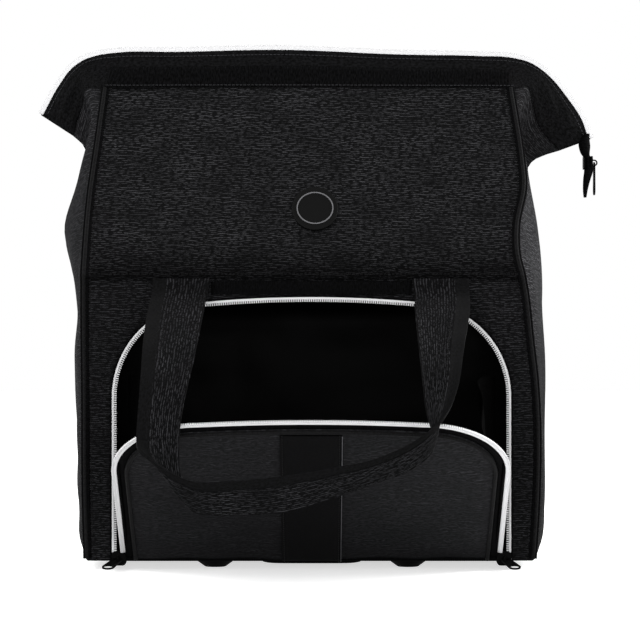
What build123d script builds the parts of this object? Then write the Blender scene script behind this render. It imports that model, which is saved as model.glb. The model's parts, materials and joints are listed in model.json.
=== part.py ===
from build123d import *
import os
from math import asin, cos, degrees, radians, sin

# A structured fabric tote with a framed mouth, a zipped front pocket whose door folds forward,
# and two carrying handles. Millimetres. X runs across the bag, the front faces -Y and Z is up.
# Everything is drawn about the bag's centre plane, then moved so that the origin is the middle
# of the whole part's box at floor level.

# ---- driving dimensions ----------------------------------------------------------------------
# body
half_width = 196          # outer face of a side panel, from the base up to the hem
half_depth = 105          # outer face of the lower front panel and of the back panel
top_half_width = half_width - 10 # outer face of a side panel where the fixed walls end
panel_t = 3.0             # padded fabric wall
cloth_gap = 0.3           # clearance between soft neighbours
ridge_z = 455
wall_top_z = ridge_z - 103 # the fixed walls end here and the mouth halves start above
corner_r = 9              # bottom corners seen from the front

# base and feet
foot_h = 8
foot_r = 20
foot_tip_r = 9
foot_x = half_width * 3 / 7
foot_y = half_depth - 37
foot_edge_r = 1.7
rivet_shank_r = 2.5
rivet_head_r = 6
rivet_head_t = 1.2
base_t = 3.0
base_inset_y = 7          # the base panel stops this far inside the front and back faces
base_inset_x = 1          # and this far inside the side panels
board_t = 3.0
board_inset = 12
patch_half_x = 45         # reinforcement patch under the middle of the base
patch_half_y = half_depth - 14
patch_t = 4.0
patch_edge_r = 2.4

# upper front panel and its hem
hem_z = 250
hem_drop = 6              # the hem hangs straight down over this height
hem_y = half_depth + 4.6  # outer face of the hem
hem_t = 2.4

# mouth: two halves that hinge about one cross axis
mouth_axis_z = wall_top_z + 13
mouth_low_z = wall_top_z + 14
mouth_wall_t = 2.6
mouth_half_width = top_half_width + 2.2
mouth_step_z = wall_top_z + 40 # below this a mouth half is narrow enough to swing inside the walls
ridge_left = top_half_width - 3 # the straight ridge runs from here ...
ridge_right = top_half_width - 6 # ... to here
ridge_face_y = 4.2        # outer face of a mouth half at the ridge
wing_bend_r = 51
left_bend_deg = 58
left_run_r = 400
left_run_deg = 4
right_bend_deg = 54
right_run_r = 200
right_run_deg = 17
left_foot_x = top_half_width + 4 # where a wing's lower edge meets the mouth's lower edge
right_foot_x = top_half_width + 38
zip_h = 4.4               # height of the zip line along the ridge
zip_half_t = 2.2          # thickness of one zip half across the ridge
ridge_split = 0.4         # half the gap between the two mouth halves

# mouth frames
wire_r = 2.0
frame_drop = 22            # the frames' top runs lie this far below the ridge
frame_clear = 2.45         # between a frame and the mouth's cloth
frame_top_r = ridge_z - mouth_axis_z - frame_drop   # from the mouth axis to the top run of the wire
frame_half_width = top_half_width - 8
frame_bend_r = 14
stem_top_r = 26
stem_w = 5
eye_r = 5.5
eye_t = 1.8
eye_gap = 0.4
pin_r = 2.0
pin_clearance = 0.08
pin_head_r = 4
pin_head_t = 1.2
bracket_t = 2.0
bracket_half_y = 6
bracket_low_z = wall_top_z - 30
lining_top_z = bracket_low_z - 3 # the lining stops under the frame brackets

# pocket opening in the lower front panel
opening_half_width = half_width - 24
opening_side_z = hem_z - 101 # the straight sides end here
opening_top_z = hem_z - 19 # top of the corner bends
opening_crown = 4         # the top edge rises this much more in the middle
opening_low_z = 12
pocket_depth = 24
lining_t = 1.2
chain_w = 4.0             # one half of the zip, across
chain_t = 3.0
chain_edge = 0.2
chain_gap = 4.5           # between the two zip halves when the door is shut
chain_low_z = 15
pocket_lining_margin = 6  # the lining is this much wider than the opening
pocket_lining_drop = 8    # and ends this far below the hem

# pocket door
door_axis_z = 10
door_open_deg = 55
door_tape_w = 6.1
door_tape_t = 1.0
door_panel_t = 2.5
door_panel_out = 1.5      # the shut door stands this far proud of the lower panel
door_lining_t = 1.0
door_piping_r = 1.6
door_low_z = 11
webbing_half_width = 25
webbing_t = 1.1
gusset_t = 1.2
gusset_x = opening_half_width - 16
gusset_low_r = 24         # the fan starts this far from the door's hinge line
gusset_rise = 12          # and ends this far above the opening's straight sides

# trim on the front
piping_r = 2.2
strip_low_z = hem_z - 13
strip_h = 11.5
strip_t = 1.3
badge_x = 3
badge_z = wall_top_z - 41
badge_rx = 20
badge_rz = 21.5
badge_t = 2.2
badge_edge_r = 0.77
badge_ring_r = 16
badge_ring_w = 1.0
badge_ring_t = 0.5

# handles
strap_w = 38
strap_t = 3.0
strap_end_r = 1.8         # rolled strap end at the hinge line
leg_x = half_width - 90.3
root_t = 1.5
rear_patch_h = 8
root_top_z = hem_z + 6    # top of the sewn-in strap ends
handle_axis_z = hem_z - 4
handle_axis_out = half_depth + 8.4 # distance of a handle's hinge line from the centre plane
rear_axis_out = half_depth + 1.8
handle_door_gap = 3         # clearance between the strap and the sweep of the door's edge
handle_arc_deg = (12, 24, 36, 47, 57)
rear_drop = handle_axis_z - 61
loop_drop = strap_w + 24      # the front loop hangs this far below the end of its arch
rear_bend_r = 60

# zip sliders and pulls
slider_len = 12
slider_w = 12.4
slider_plate_t = 1.6
slider_front_gap = 0.6
slider_back_gap = 1.6
bridge_w = 2.2
bridge_len = 4
bail_r = 2.4
bail_wire_r = 0.65
bail_stand_off = 1.7
pull_len = 29
pull_t = 1.4
pull_rim = 1.3
pull_top_hole_r = 2.9
pull_end_hole_r = 4.2
pull_end_r = 5.2
pocket_slider_z = 10
pocket_pull_down = 13     # degrees below level at which a pocket pull rests
pocket_pull_splay = 18
tail_slider_z = mouth_low_z - 10

# zip tail at the right end of the mouth
tail_x = ridge_right + 68
tail_tape_t = 2.0
tail_top_z = mouth_low_z + 12
tail_fold_low_z = tail_slider_z - 30
tail_fold_half_x = 3.4
bulb_half_x = 3.6
bulb_low_z = mouth_low_z - 22
bulb_top_z = mouth_low_z + 4
bulb_hem_h = 8            # the folded end of the bulb
bulb_round_h = 14

# ---- shared places ---------------------------------------------------------------------------
base_z = foot_h
panel_low_z = base_z + base_t + cloth_gap
lean_z = hem_z + hem_drop
chain_out = half_depth + 1.0                    # front face of the pocket zip
chain_mid_y = -(chain_out - chain_t / 2)
slider_mid_inset = chain_edge + chain_w + chain_gap / 2
door_chain_inset = chain_edge + chain_w + chain_gap
door_tape_inset = door_chain_inset + chain_w + chain_edge
door_panel_inset = door_tape_inset + door_tape_w + chain_edge
pocket_back_y = -(half_depth - panel_t) + pocket_depth
rear_slope = (half_depth - ridge_face_y) / (ridge_z - lean_z)
frame_out = ridge_face_y + frame_drop * rear_slope - mouth_wall_t - wire_r - frame_clear
frame_tilt = degrees(asin(frame_out / frame_top_r))   # each frame leans this far from upright
sides = (-1, 1)
side_name = {-1: "left", 1: "right"}
on_its_end = (Align.CENTER, Align.CENTER, Align.MIN)


def side_x(z):
    """Outer half width of the body at height z: straight to the hem, then tapering."""
    taper = (half_width - top_half_width) / (wall_top_z - lean_z)
    return half_width - max(0, z - lean_z) * taper


def face_y(z, foot_y_out):
    """Outer face of a leaning wall at height z, from its foot up to the ridge."""
    return foot_y_out - (z - lean_z) * (foot_y_out - ridge_face_y) / (ridge_z - lean_z)


def side_solid(points, x_low, x_high):
    """Prism of an outline given as (y, z) points, from x_low to x_high."""
    outline = Plane.YZ.offset(x_low) * Polygon(*points, align=None)
    return extrude(outline, amount=x_high - x_low, dir=(1, 0, 0))


def front_solid(sketch, y_low, y_high):
    """Prism of a sketch drawn in (x, z), from y_low to y_high."""
    return extrude(Plane.XZ.offset(-y_high) * sketch, amount=y_high - y_low, dir=(0, -1, 0))


def body_outline(inset):
    """Front view of the fixed walls, drawn smaller by an inset."""
    low = half_width - inset
    high = side_x(wall_top_z) - inset
    outline = Polygon((-low, base_z + inset), (low, base_z + inset), (low, lean_z),
                      (high, wall_top_z), (-high, wall_top_z), (-low, lean_z), align=None)
    bottom = outline.vertices().sort_by(Axis.Y)[:2]
    return fillet(bottom, corner_r)


def tube(path, radius):
    """Round bar along a wire."""
    return sweep(Plane(path @ 0, z_dir=path % 0) * Circle(radius), path=path)


def opening_outline(inset, low_z):
    """Arched outline of the pocket, from low_z up, drawn smaller by an inset."""
    w = opening_half_width - inset
    r = opening_top_z - opening_side_z - inset
    shoulder = opening_top_z - inset
    dx = r * (1 - cos(radians(45)))
    dz = r * sin(radians(45))
    edges = [
        Line((-w, low_z), (-w, opening_side_z)),
        ThreePointArc((-w, opening_side_z), (-w + dx, opening_side_z + dz), (-w + r, shoulder)),
        ThreePointArc((-w + r, shoulder), (0, shoulder + opening_crown), (w - r, shoulder)),
        ThreePointArc((w - r, shoulder), (w - dx, opening_side_z + dz), (w, opening_side_z)),
        Line((w, opening_side_z), (w, low_z)),
        Line((w, low_z), (-w, low_z)),
    ]
    return make_face(edges)


def opening_ring(inset, width, low_z):
    """Arched band that follows the pocket's outline."""
    return opening_outline(inset, low_z) - opening_outline(inset + width, low_z - 1)


def mouth_edges(inset):
    """Left wing, ridge and right wing seen from the front, drawn lower by an inset."""
    z = ridge_z - inset
    left_1 = JernArc((-ridge_left, z), (-1, 0), wing_bend_r - inset, left_bend_deg)
    left_2 = JernArc(left_1 @ 1, left_1 % 1, left_run_r, left_run_deg)
    right_1 = JernArc((ridge_right, z), (1, 0), wing_bend_r - inset, -right_bend_deg)
    right_2 = JernArc(right_1 @ 1, right_1 % 1, right_run_r, -right_run_deg)
    ridge = Line((-ridge_left, z), (ridge_right, z))
    return [left_2, left_1, ridge, right_1, right_2], left_2 @ 1, right_2 @ 1


def mouth_outline(inset, low_z):
    """Whole mouth seen from the front: ridge and wings above, a level lower edge."""
    edges, left_tip, right_tip = mouth_edges(inset)
    foot_left = Vector(-left_foot_x, low_z)
    foot_right = Vector(right_foot_x, low_z)
    edges += [Line(left_tip, foot_left), Line(foot_left, foot_right), Line(foot_right, right_tip)]
    return make_face(edges)


def mouth_band(inset, width):
    """Curved band of one width that follows the ridge and both wings."""
    outer, left_out, right_out = mouth_edges(inset)
    inner, left_in, right_in = mouth_edges(inset + width)
    return make_face(outer + inner + [Line(left_out, left_in), Line(right_out, right_in)])


def mirror_y(solid):
    return mirror(solid, about=Plane.XZ)


def mirror_x(solid):
    return mirror(solid, about=Plane.YZ)


nodes = {}


# ---- base ------------------------------------------------------------------------------------
def base_parts():
    base_y = half_depth - base_inset_y
    panel_outline = RectangleRounded(2 * (half_width - panel_t - base_inset_x), 2 * base_y, corner_r)
    panel = Pos(0, 0, base_z) * extrude(panel_outline, amount=base_t)
    board_outline = RectangleRounded(2 * (half_width - board_inset), 2 * (base_y - board_inset), corner_r)
    board = Pos(0, 0, panel_low_z) * extrude(board_outline, amount=board_t)
    patch = Pos(0, 0, base_z - patch_t) * extrude(
        RectangleRounded(2 * patch_half_x, 2 * patch_half_y, corner_r), amount=patch_t)
    patch = fillet(patch.edges().group_by(Axis.Z)[0], patch_edge_r)
    for x, across in ((-foot_x, "left"), (foot_x, "right")):
        for y, along in ((-foot_y, "front"), (foot_y, "rear")):
            foot = Solid.make_cone(foot_tip_r, foot_r, foot_h)
            foot = fillet(foot.edges().group_by(Axis.Z)[0], foot_edge_r)
            rivet_hole = Pos(0, 0, foot_h / 2) * Cylinder(rivet_shank_r, foot_h, align=on_its_end)
            place = Pos(x, y, 0)
            nodes[f"foot_{along}_{across}"] = place * (foot - rivet_hole)
            panel -= place * Pos(0, 0, base_z) * Cylinder(rivet_shank_r, 3 * base_t)
            board -= place * Pos(0, 0, panel_low_z) * Cylinder(rivet_shank_r, 3 * board_t)
    board_top = panel_low_z + board_t
    shank_len = board_top - foot_h / 2
    shank = Cylinder(rivet_shank_r, shank_len, align=on_its_end)
    head = Pos(0, 0, shank_len) * Cylinder(rivet_head_r, rivet_head_t, align=on_its_end)
    rivets = [Pos(x, y, foot_h / 2) * (shank + head) for x in (-foot_x, foot_x) for y in (-foot_y, foot_y)]
    nodes["base_panel"] = panel
    nodes["base_board"] = board
    nodes["base_patch"] = patch
    nodes["foot_rivets"] = Compound(rivets)


# ---- fixed walls -----------------------------------------------------------------------------
def wall_parts():
    above_hem = Pos(0, hem_z + ridge_z / 2) * Rectangle(3 * half_width, ridge_z)
    lower = body_outline(0) - above_hem
    lower -= opening_outline(0, 0)
    nodes["front_lower_panel"] = front_solid(lower, -half_depth, -(half_depth - panel_t))

    top_out = face_y(wall_top_z, hem_y)
    upper_side = [(-hem_y, hem_z), (-hem_y, lean_z), (-top_out, wall_top_z), (-top_out + hem_t, wall_top_z),
                  (-hem_y + hem_t, lean_z), (-hem_y + hem_t, hem_z)]
    between_pipings = front_solid(body_outline(2 * piping_r + panel_t), -hem_y, 0)
    nodes["upper_front_panel"] = side_solid(upper_side, -half_width, half_width) & between_pipings

    back_out = face_y(wall_top_z, half_depth)
    back_in = half_depth - panel_t
    back_side = [(half_depth, base_z), (half_depth, lean_z), (back_out, wall_top_z),
                 (back_out - panel_t, wall_top_z), (back_in, lean_z), (back_in, base_z)]
    nodes["back_panel"] = side_solid(back_side, -half_width, half_width) & front_solid(
        body_outline(0), 0, half_depth)

    inner = half_depth - panel_t - cloth_gap
    front_top = top_out - hem_t - cloth_gap
    rear_top = back_out - panel_t - cloth_gap
    gusset = [(-inner, panel_low_z), (-inner, lean_z),
              (-front_top, wall_top_z), (rear_top, wall_top_z), (inner, lean_z), (inner, panel_low_z)]
    shell = body_outline(0) - body_outline(panel_t)
    for side in sides:
        middle = Pos(-side * half_width, 0) * Rectangle(2 * (half_width + top_half_width - 2 * corner_r),
                                                        3 * ridge_z)
        wall = front_solid(shell - middle, -half_depth, half_depth)
        nodes[f"{side_name[side]}_side_panel"] = wall & side_solid(gusset, -half_width, half_width)


def piping_parts():
    out = half_depth + piping_r + cloth_gap
    inset = piping_r + 0.4
    top_front = face_y(wall_top_z, hem_y) + 2 * cloth_gap
    top_rear = face_y(wall_top_z, half_depth) + piping_r + cloth_gap
    for side in sides:
        bottom_x = side * (half_width - inset)
        top_x = side * (top_half_width - inset)
        low = base_z + corner_r
        front = Polyline((bottom_x, -out, low), (bottom_x, -out, lean_z - 4), (top_x, -top_front, wall_top_z))
        rear = Polyline((bottom_x, out, low), (bottom_x, out, lean_z), (top_x, top_rear, wall_top_z))
        for name, path in (("front", front), ("rear", rear)):
            nodes[f"{name}_{side_name[side]}_piping"] = tube(path, piping_r)


def lining_solid(inset):
    """Filled shape of the main lining: the leaning outline, cut off in front by the pocket's back wall."""
    front = -pocket_back_y - lining_t - cloth_gap - inset
    rear = half_depth - panel_t - cloth_gap - inset
    hem_in = hem_y - hem_t - 4 * cloth_gap - inset
    top_front = face_y(lining_top_z, hem_y) - hem_t - 4 * cloth_gap - inset
    top_rear = face_y(lining_top_z, half_depth) - panel_t - 4 * cloth_gap - inset
    low = panel_low_z + board_t + rivet_head_t + cloth_gap + inset
    leaning = [(-hem_in, low), (-hem_in, lean_z), (-top_front, lining_top_z), (top_rear, lining_top_z),
               (rear, lean_z - 4), (rear, low)]
    behind_pocket = [(-front, low), (-front, lining_top_z), (rear, lining_top_z), (rear, low)]
    solid = side_solid(leaning, -half_width, half_width) & side_solid(behind_pocket, -half_width, half_width)
    return solid & front_solid(body_outline(panel_t + cloth_gap + inset), -half_depth, half_depth)


def lining_parts():
    outer = lining_solid(0)
    inner = lining_solid(lining_t)
    top_slot = Pos(0, 0, lining_top_z) * Box(4 * half_width, 4 * half_depth, 2 * lining_t)
    nodes["main_lining"] = outer - inner - top_slot

    front_y = chain_mid_y + chain_t / 2 + slider_back_gap + slider_plate_t + cloth_gap
    pocket_floor_z = panel_low_z + board_t + cloth_gap
    pocket_top_z = hem_z - pocket_lining_drop
    w = opening_half_width + pocket_lining_margin
    outline = Polygon((-w, pocket_floor_z), (w, pocket_floor_z), (w, pocket_top_z), (-w, pocket_top_z),
                      align=None)
    hollow = offset(outline, -lining_t)
    tray = front_solid(outline, front_y, pocket_back_y)
    tray -= front_solid(hollow, front_y - 1, pocket_back_y - lining_t)
    nodes["pocket_lining"] = tray


# ---- pocket zip and trim on the front -------------------------------------------------------
def front_trim_parts():
    nodes["opening_zip"] = front_solid(opening_ring(chain_edge, chain_w, chain_low_z),
                                       -chain_out, -chain_out + chain_t)
    strip_half_width = leg_x - strap_w / 2 - 2 * cloth_gap
    strip = Pos(0, strip_low_z + strip_h / 2) * Rectangle(2 * strip_half_width, strip_h)
    strip_face = half_depth + cloth_gap
    nodes["hook_strip"] = front_solid(strip, -strip_face - strip_t, -strip_face)

    lean = Plane((badge_x, -face_y(badge_z, hem_y), badge_z), x_dir=(1, 0, 0),
                 z_dir=(0, -(ridge_z - lean_z), hem_y - ridge_face_y))
    badge = extrude(Ellipse(badge_rx, badge_rz), amount=badge_t)
    badge = fillet(badge.edges().group_by(Axis.Z)[-1], badge_edge_r)
    ring = extrude(Circle(badge_ring_r) - Circle(badge_ring_r - badge_ring_w), amount=badge_ring_t)
    nodes["round_badge"] = lean * Pos(0, 0, cloth_gap) * badge
    nodes["badge_ring"] = lean * Pos(0, 0, cloth_gap + badge_t) * ring


# ---- mouth: bands, wings, zip halves, frames ------------------------------------------------
def mouth_half(name, face, turn):
    """One half of the mouth. The front half is drawn, and turn carries it to its side."""
    low_y = face_y(mouth_low_z, face)
    top = ridge_z - zip_h - 0.2
    wall_side = [(-low_y, mouth_low_z), (-ridge_face_y, top), (-ridge_face_y + mouth_wall_t, top),
                 (-low_y + mouth_wall_t, mouth_low_z)]
    band = side_solid(wall_side, -mouth_half_width, mouth_half_width)
    band &= front_solid(mouth_outline(zip_h + 0.2, mouth_low_z), -hem_y, 0)
    swing_w = top_half_width - panel_t - 2 * cloth_gap
    for side in sides:
        band -= Pos(side * (swing_w + half_width), 0, mouth_step_z - half_width) * Box(
            2 * half_width, 4 * half_depth, 2 * half_width)
    nodes[f"{name}_mouth_band"] = turn(band)

    wings = front_solid(mouth_outline(zip_h + 0.2, mouth_low_z), -ridge_face_y, -ridge_face_y + mouth_wall_t)
    wings -= Pos(0, 0, ridge_z) * Box(2 * (mouth_half_width + cloth_gap), 4 * half_depth, 4 * ridge_z)
    for wing, side in zip(wings.solids().sort_by(Axis.X), sides):
        nodes[f"{name}_{side_name[side]}_wing"] = turn(wing)

    zip_half = front_solid(mouth_band(0, zip_h), -ridge_split - zip_half_t, -ridge_split)
    nodes[f"{name}_mouth_zip"] = turn(zip_half)


def frame_wire(name, tilt, eye_side):
    """Sprung wire frame: a U in a plane through the mouth axis, with a flat eye at each end."""
    w = frame_half_width
    top = frame_top_r
    b = frame_bend_r
    corner = b * (1 - cos(radians(45)))
    path = Wire([
        Line((-w, stem_top_r - 3), (-w, top - b)),
        ThreePointArc((-w, top - b), (-w + corner, top - corner), (-w + b, top)),
        Line((-w + b, top), (w - b, top)),
        ThreePointArc((w - b, top), (w - corner, top - corner), (w, top - b)),
        Line((w, top - b), (w, stem_top_r - 3)),
    ])
    frame = tube(path, wire_r)
    for side in sides:
        eye = Circle(eye_r) + Pos(0, stem_top_r / 2) * Rectangle(stem_w, stem_top_r)
        eye -= Circle(pin_r + pin_clearance)
        inner = side * w + eye_side * side * (eye_gap + eye_t) / 2 - eye_t / 2
        turn_up = Plane((inner, 0, 0), x_dir=(0, 0, -1), z_dir=(1, 0, 0))
        frame += turn_up * extrude(eye, amount=eye_t)
    facing = (0, -cos(radians(tilt)), -sin(radians(tilt)))
    upright = Plane((0, 0, mouth_axis_z), x_dir=(1, 0, 0), z_dir=facing)
    nodes[f"{name}_frame_wire"] = upright * frame


def pivot_parts():
    """Rivets and brackets that carry both wire frames on the side panels."""
    inner_eye = frame_half_width - eye_gap / 2 - eye_t
    bracket_x = side_x(wall_top_z) - panel_t - cloth_gap - bracket_t
    for side in sides:
        plate = Pos(0, (bracket_low_z + mouth_axis_z) / 2) * Rectangle(
            2 * bracket_half_y, mouth_axis_z - bracket_low_z)
        plate += Pos(0, mouth_axis_z) * Circle(bracket_half_y)
        plate -= Pos(0, mouth_axis_z) * Circle(pin_r)
        low_x = bracket_x if side > 0 else -bracket_x - bracket_t
        nodes[f"{side_name[side]}_frame_bracket"] = extrude(Plane.YZ.offset(low_x) * plate, amount=bracket_t)
        pin_from = inner_eye - cloth_gap
        pin_to = bracket_x + bracket_t
        pin = Plane.YZ.offset(pin_from) * extrude(Circle(pin_r), amount=pin_to - pin_from)
        pin += Plane.YZ.offset(pin_from - pin_head_t) * extrude(Circle(pin_head_r), amount=pin_head_t)
        pin += Plane.YZ.offset(pin_to) * extrude(Circle(pin_head_r), amount=pin_head_t)
        pin = Pos(0, 0, mouth_axis_z) * pin
        nodes[f"{side_name[side]}_frame_rivet"] = pin if side > 0 else mirror_x(pin)


# ---- pocket door ----------------------------------------------------------------------------
door_hinge = Axis((0, -half_depth, door_axis_z), (1, 0, 0))


def open_door(solid):
    return solid.rotate(door_hinge, door_open_deg)


def door_parts():
    """Drawn shut in the pocket opening, then folded forward about its bottom edge."""
    face = half_depth + door_panel_out
    zip_low = chain_low_z + slider_len / 2
    zip_half = front_solid(opening_ring(door_chain_inset, chain_w, zip_low), -chain_out, -chain_out + chain_t)
    tape = front_solid(opening_ring(door_tape_inset, door_tape_w, door_low_z),
                       chain_mid_y - door_tape_t / 2, chain_mid_y + door_tape_t / 2)
    panel = front_solid(opening_outline(door_panel_inset, door_low_z), -face, -face + door_panel_t)
    back = -face + door_panel_t + cloth_gap
    lining = front_solid(opening_outline(door_panel_inset, door_low_z), back, back + door_lining_t)
    ring_y = -face - door_piping_r - cloth_gap
    seam = opening_outline(door_panel_inset + door_piping_r, door_low_z + door_piping_r)
    on_door = Plane.XZ.offset(-ring_y)
    seam_path = Wire([on_door * edge for edge in seam.edges().sort_by(Axis.Y)[1:]])
    web_top = opening_top_z + opening_crown - door_panel_inset - 3 * door_piping_r
    webbing = Pos(0, (door_low_z + web_top) / 2) * Rectangle(2 * webbing_half_width, web_top - door_low_z)
    web_face = face + cloth_gap + webbing_t
    nodes["door_zip"] = open_door(zip_half)
    nodes["door_zip_tape"] = open_door(tape)
    nodes["door_panel"] = open_door(panel)
    nodes["door_lining"] = open_door(lining)
    nodes["door_piping"] = open_door(tube(seam_path, door_piping_r))
    nodes["door_webbing"] = open_door(front_solid(webbing, -web_face, -web_face + webbing_t))


def door_gusset_parts():
    """Fan-shaped bellows between each side of the opening and the folded door."""
    reach = opening_side_z - door_axis_z + gusset_rise
    along = (-sin(radians(door_open_deg)), cos(radians(door_open_deg)))
    behind = half_depth + chain_mid_y + door_tape_t / 2 + cloth_gap

    def on_door(r):
        y = -half_depth + r * along[0] + behind * along[1]
        z = door_axis_z + r * along[1] - behind * along[0]
        return (y, z)

    fan = [(-half_depth, door_axis_z + gusset_low_r), (-half_depth, door_axis_z + reach),
           on_door(reach), on_door(gusset_low_r)]
    for side in sides:
        low_x = side * gusset_x - gusset_t / 2
        nodes[f"{side_name[side]}_door_gusset"] = side_solid(fan, low_x, low_x + gusset_t)


# ---- handles --------------------------------------------------------------------------------
def ribbon(stations):
    """Flat strap lofted through (centre, width direction) stations."""
    points = [Vector(*centre) for centre, across in stations]
    sections = []
    for i, (centre, across) in enumerate(stations):
        before = points[max(i - 1, 0)]
        after = points[min(i + 1, len(points) - 1)]
        plane = Plane(Vector(*centre), x_dir=Vector(*across), z_dir=after - before)
        sections.append(plane * Rectangle(strap_w, strap_t))
    return loft(sections, ruled=True)


def handle_parts():
    """The front handle arches over the folded door and hangs in front of it."""
    door_reach = opening_top_z + opening_crown - door_chain_inset - door_axis_z
    arc_r = door_reach + strap_t + handle_door_gap
    over = []
    for deg in handle_arc_deg:
        a = radians(deg)
        over.append((-half_depth - arc_r * sin(a), door_axis_z + arc_r * cos(a)))
    start = (-handle_axis_out, handle_axis_z)
    first = (-handle_axis_out - 3, handle_axis_z - 5)
    left_lean = (0, 0, 3, 5, 9, 12, 15)
    right_lean = (0, 0, 2, 3, 3, 1, -3)
    route = [start, first] + over
    hang_y, hang_z = over[-1]
    left = [((-leg_x - lean, y, z), (1, 0, 0)) for lean, (y, z) in zip(left_lean, route)]
    right = [((leg_x + lean, y, z), (-1, 0, 0)) for lean, (y, z) in zip(right_lean, route)]
    front_y = hang_y - 7
    loop = [
        ((-leg_x - 17, front_y, hang_z - loop_drop + 38), (1, -0.25, 0.2)),
        ((-leg_x - 8, front_y - 1, hang_z - loop_drop + 14), (0.6, -0.5, 0.6)),
        ((-leg_x + 12, front_y - 2, hang_z - loop_drop + 2), (0.2, -0.65, 0.75)),
        ((-leg_x + 45, front_y - 2, hang_z - loop_drop), (0, -0.68, 0.73)),
        ((0, front_y - 2, hang_z - loop_drop + 4), (0, -0.68, 0.73)),
        ((leg_x - 60.7, front_y - 1, hang_z - loop_drop + 14), (0, -0.68, 0.73)),
        ((leg_x - 30.7, front_y, hang_z - loop_drop + 28), (-0.35, -0.6, 0.7)),
        ((leg_x - 10.7, front_y + 2, hang_z - loop_drop + 46), (-0.8, -0.4, 0.45)),
    ]
    strap = ribbon(left + loop + right[::-1])
    for side in sides:
        strap += Pos(side * leg_x, *start) * Rot(0, 90, 0) * Cylinder(strap_end_r, strap_w)
    nodes["front_handle"] = strap

    z = handle_axis_z
    w = leg_x + strap_w / 2
    outer = Polygon((-w, z), (w, z), (w, z - rear_drop), (-w, z - rear_drop), align=None)
    outer = fillet(outer.vertices().sort_by(Axis.Y)[:2], rear_bend_r)
    inner_w = w - strap_w
    inner = Polygon((-inner_w, z + 1), (inner_w, z + 1), (inner_w, z - rear_drop + strap_w),
                    (-inner_w, z - rear_drop + strap_w), align=None)
    inner = fillet(inner.vertices().sort_by(Axis.Y)[:2], rear_bend_r - strap_w)
    rear_y = rear_axis_out
    nodes["rear_handle"] = front_solid(outer - inner, rear_y - strap_t / 2, rear_y + strap_t / 2)

    sewn_y = half_depth + cloth_gap
    face = sewn_y + root_t
    lip_low = handle_axis_z + strap_t / 2 - 2 * cloth_gap
    lip_y = handle_axis_out - strap_t / 2 - 2 * cloth_gap
    front_root = [(-sewn_y, lip_low), (-sewn_y, root_top_z), (-face, root_top_z), (-face, lip_low + root_t),
                  (-lip_y, lip_low + root_t), (-lip_y, lip_low)]
    patch_low = handle_axis_z + strap_t / 2 + cloth_gap
    patch_high = patch_low + rear_patch_h
    for side in sides:
        low_x = side * leg_x - strap_w / 2
        nodes[f"front_{side_name[side]}_handle_root"] = side_solid(front_root, low_x, low_x + strap_w)
        patch = Pos(side * leg_x, (patch_low + patch_high) / 2) * Rectangle(strap_w, rear_patch_h)
        nodes[f"rear_{side_name[side]}_handle_root"] = front_solid(patch, sewn_y, face)


# ---- sliders, pulls and the zip tail --------------------------------------------------------
def slider():
    """Zip slider about its own middle: front at -Y, teeth run along Z through the middle."""
    front_in = chain_t / 2 + slider_front_gap
    back_in = chain_t / 2 + slider_back_gap
    plate = RectangleRounded(slider_w, slider_len, 3)
    body = front_solid(plate, -front_in - slider_plate_t, -front_in)
    body += front_solid(plate, back_in, back_in + slider_plate_t - 0.2)
    post = Pos(0, slider_len / 2 - bridge_len / 2 - 1) * Rectangle(bridge_w, bridge_len)
    body += front_solid(post, -front_in - slider_plate_t / 2, back_in + slider_plate_t / 2)
    face = -front_in - slider_plate_t
    centre = face - bail_stand_off
    bail = Wire([Line((face + 0.5, bail_r), (centre, bail_r)),
                 ThreePointArc((centre, bail_r), (centre - bail_r, 0), (centre, -bail_r)),
                 Line((centre, -bail_r), (face + 0.5, -bail_r))])
    return body + tube(Plane.YZ * bail, bail_wire_r), centre


def pull():
    """Flat tapered pull that hangs along -Z from the middle of its top rim."""
    top = Vector(0, pull_rim / 2 - pull_top_hole_r - pull_rim)
    end = Vector(0, -pull_len + pull_end_r)
    top_r = pull_top_hole_r + pull_rim
    blade = Pos(top) * Circle(top_r) + Pos(end) * Circle(pull_end_r)
    blade += Polygon((-top_r, top.Y), (-pull_end_r, end.Y), (pull_end_r, end.Y), (top_r, top.Y), align=None)
    blade -= Pos(top) * Circle(pull_top_hole_r)
    blade -= Pos(end) * Circle(pull_end_hole_r)
    return front_solid(blade, -pull_t / 2, pull_t / 2)


def slider_parts():
    body, bail_y = slider()
    for side in sides:
        x = side * (opening_half_width - slider_mid_inset)
        nodes[f"{side_name[side]}_pocket_slider"] = Pos(x, chain_mid_y, pocket_slider_z) * body
        place = Pos(x, chain_mid_y + bail_y, pocket_slider_z) * Rot(-(90 - pocket_pull_down), 0, 0)
        nodes[f"{side_name[side]}_pocket_pull"] = place * Rot(0, side * pocket_pull_splay * -1, 0) * pull()
    outward = Rot(0, 0, 90)
    nodes["mouth_slider"] = Pos(tail_x, 0, tail_slider_z) * outward * body
    nodes["mouth_pull"] = Pos(tail_x - bail_y, 0, tail_slider_z) * outward * pull()


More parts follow.
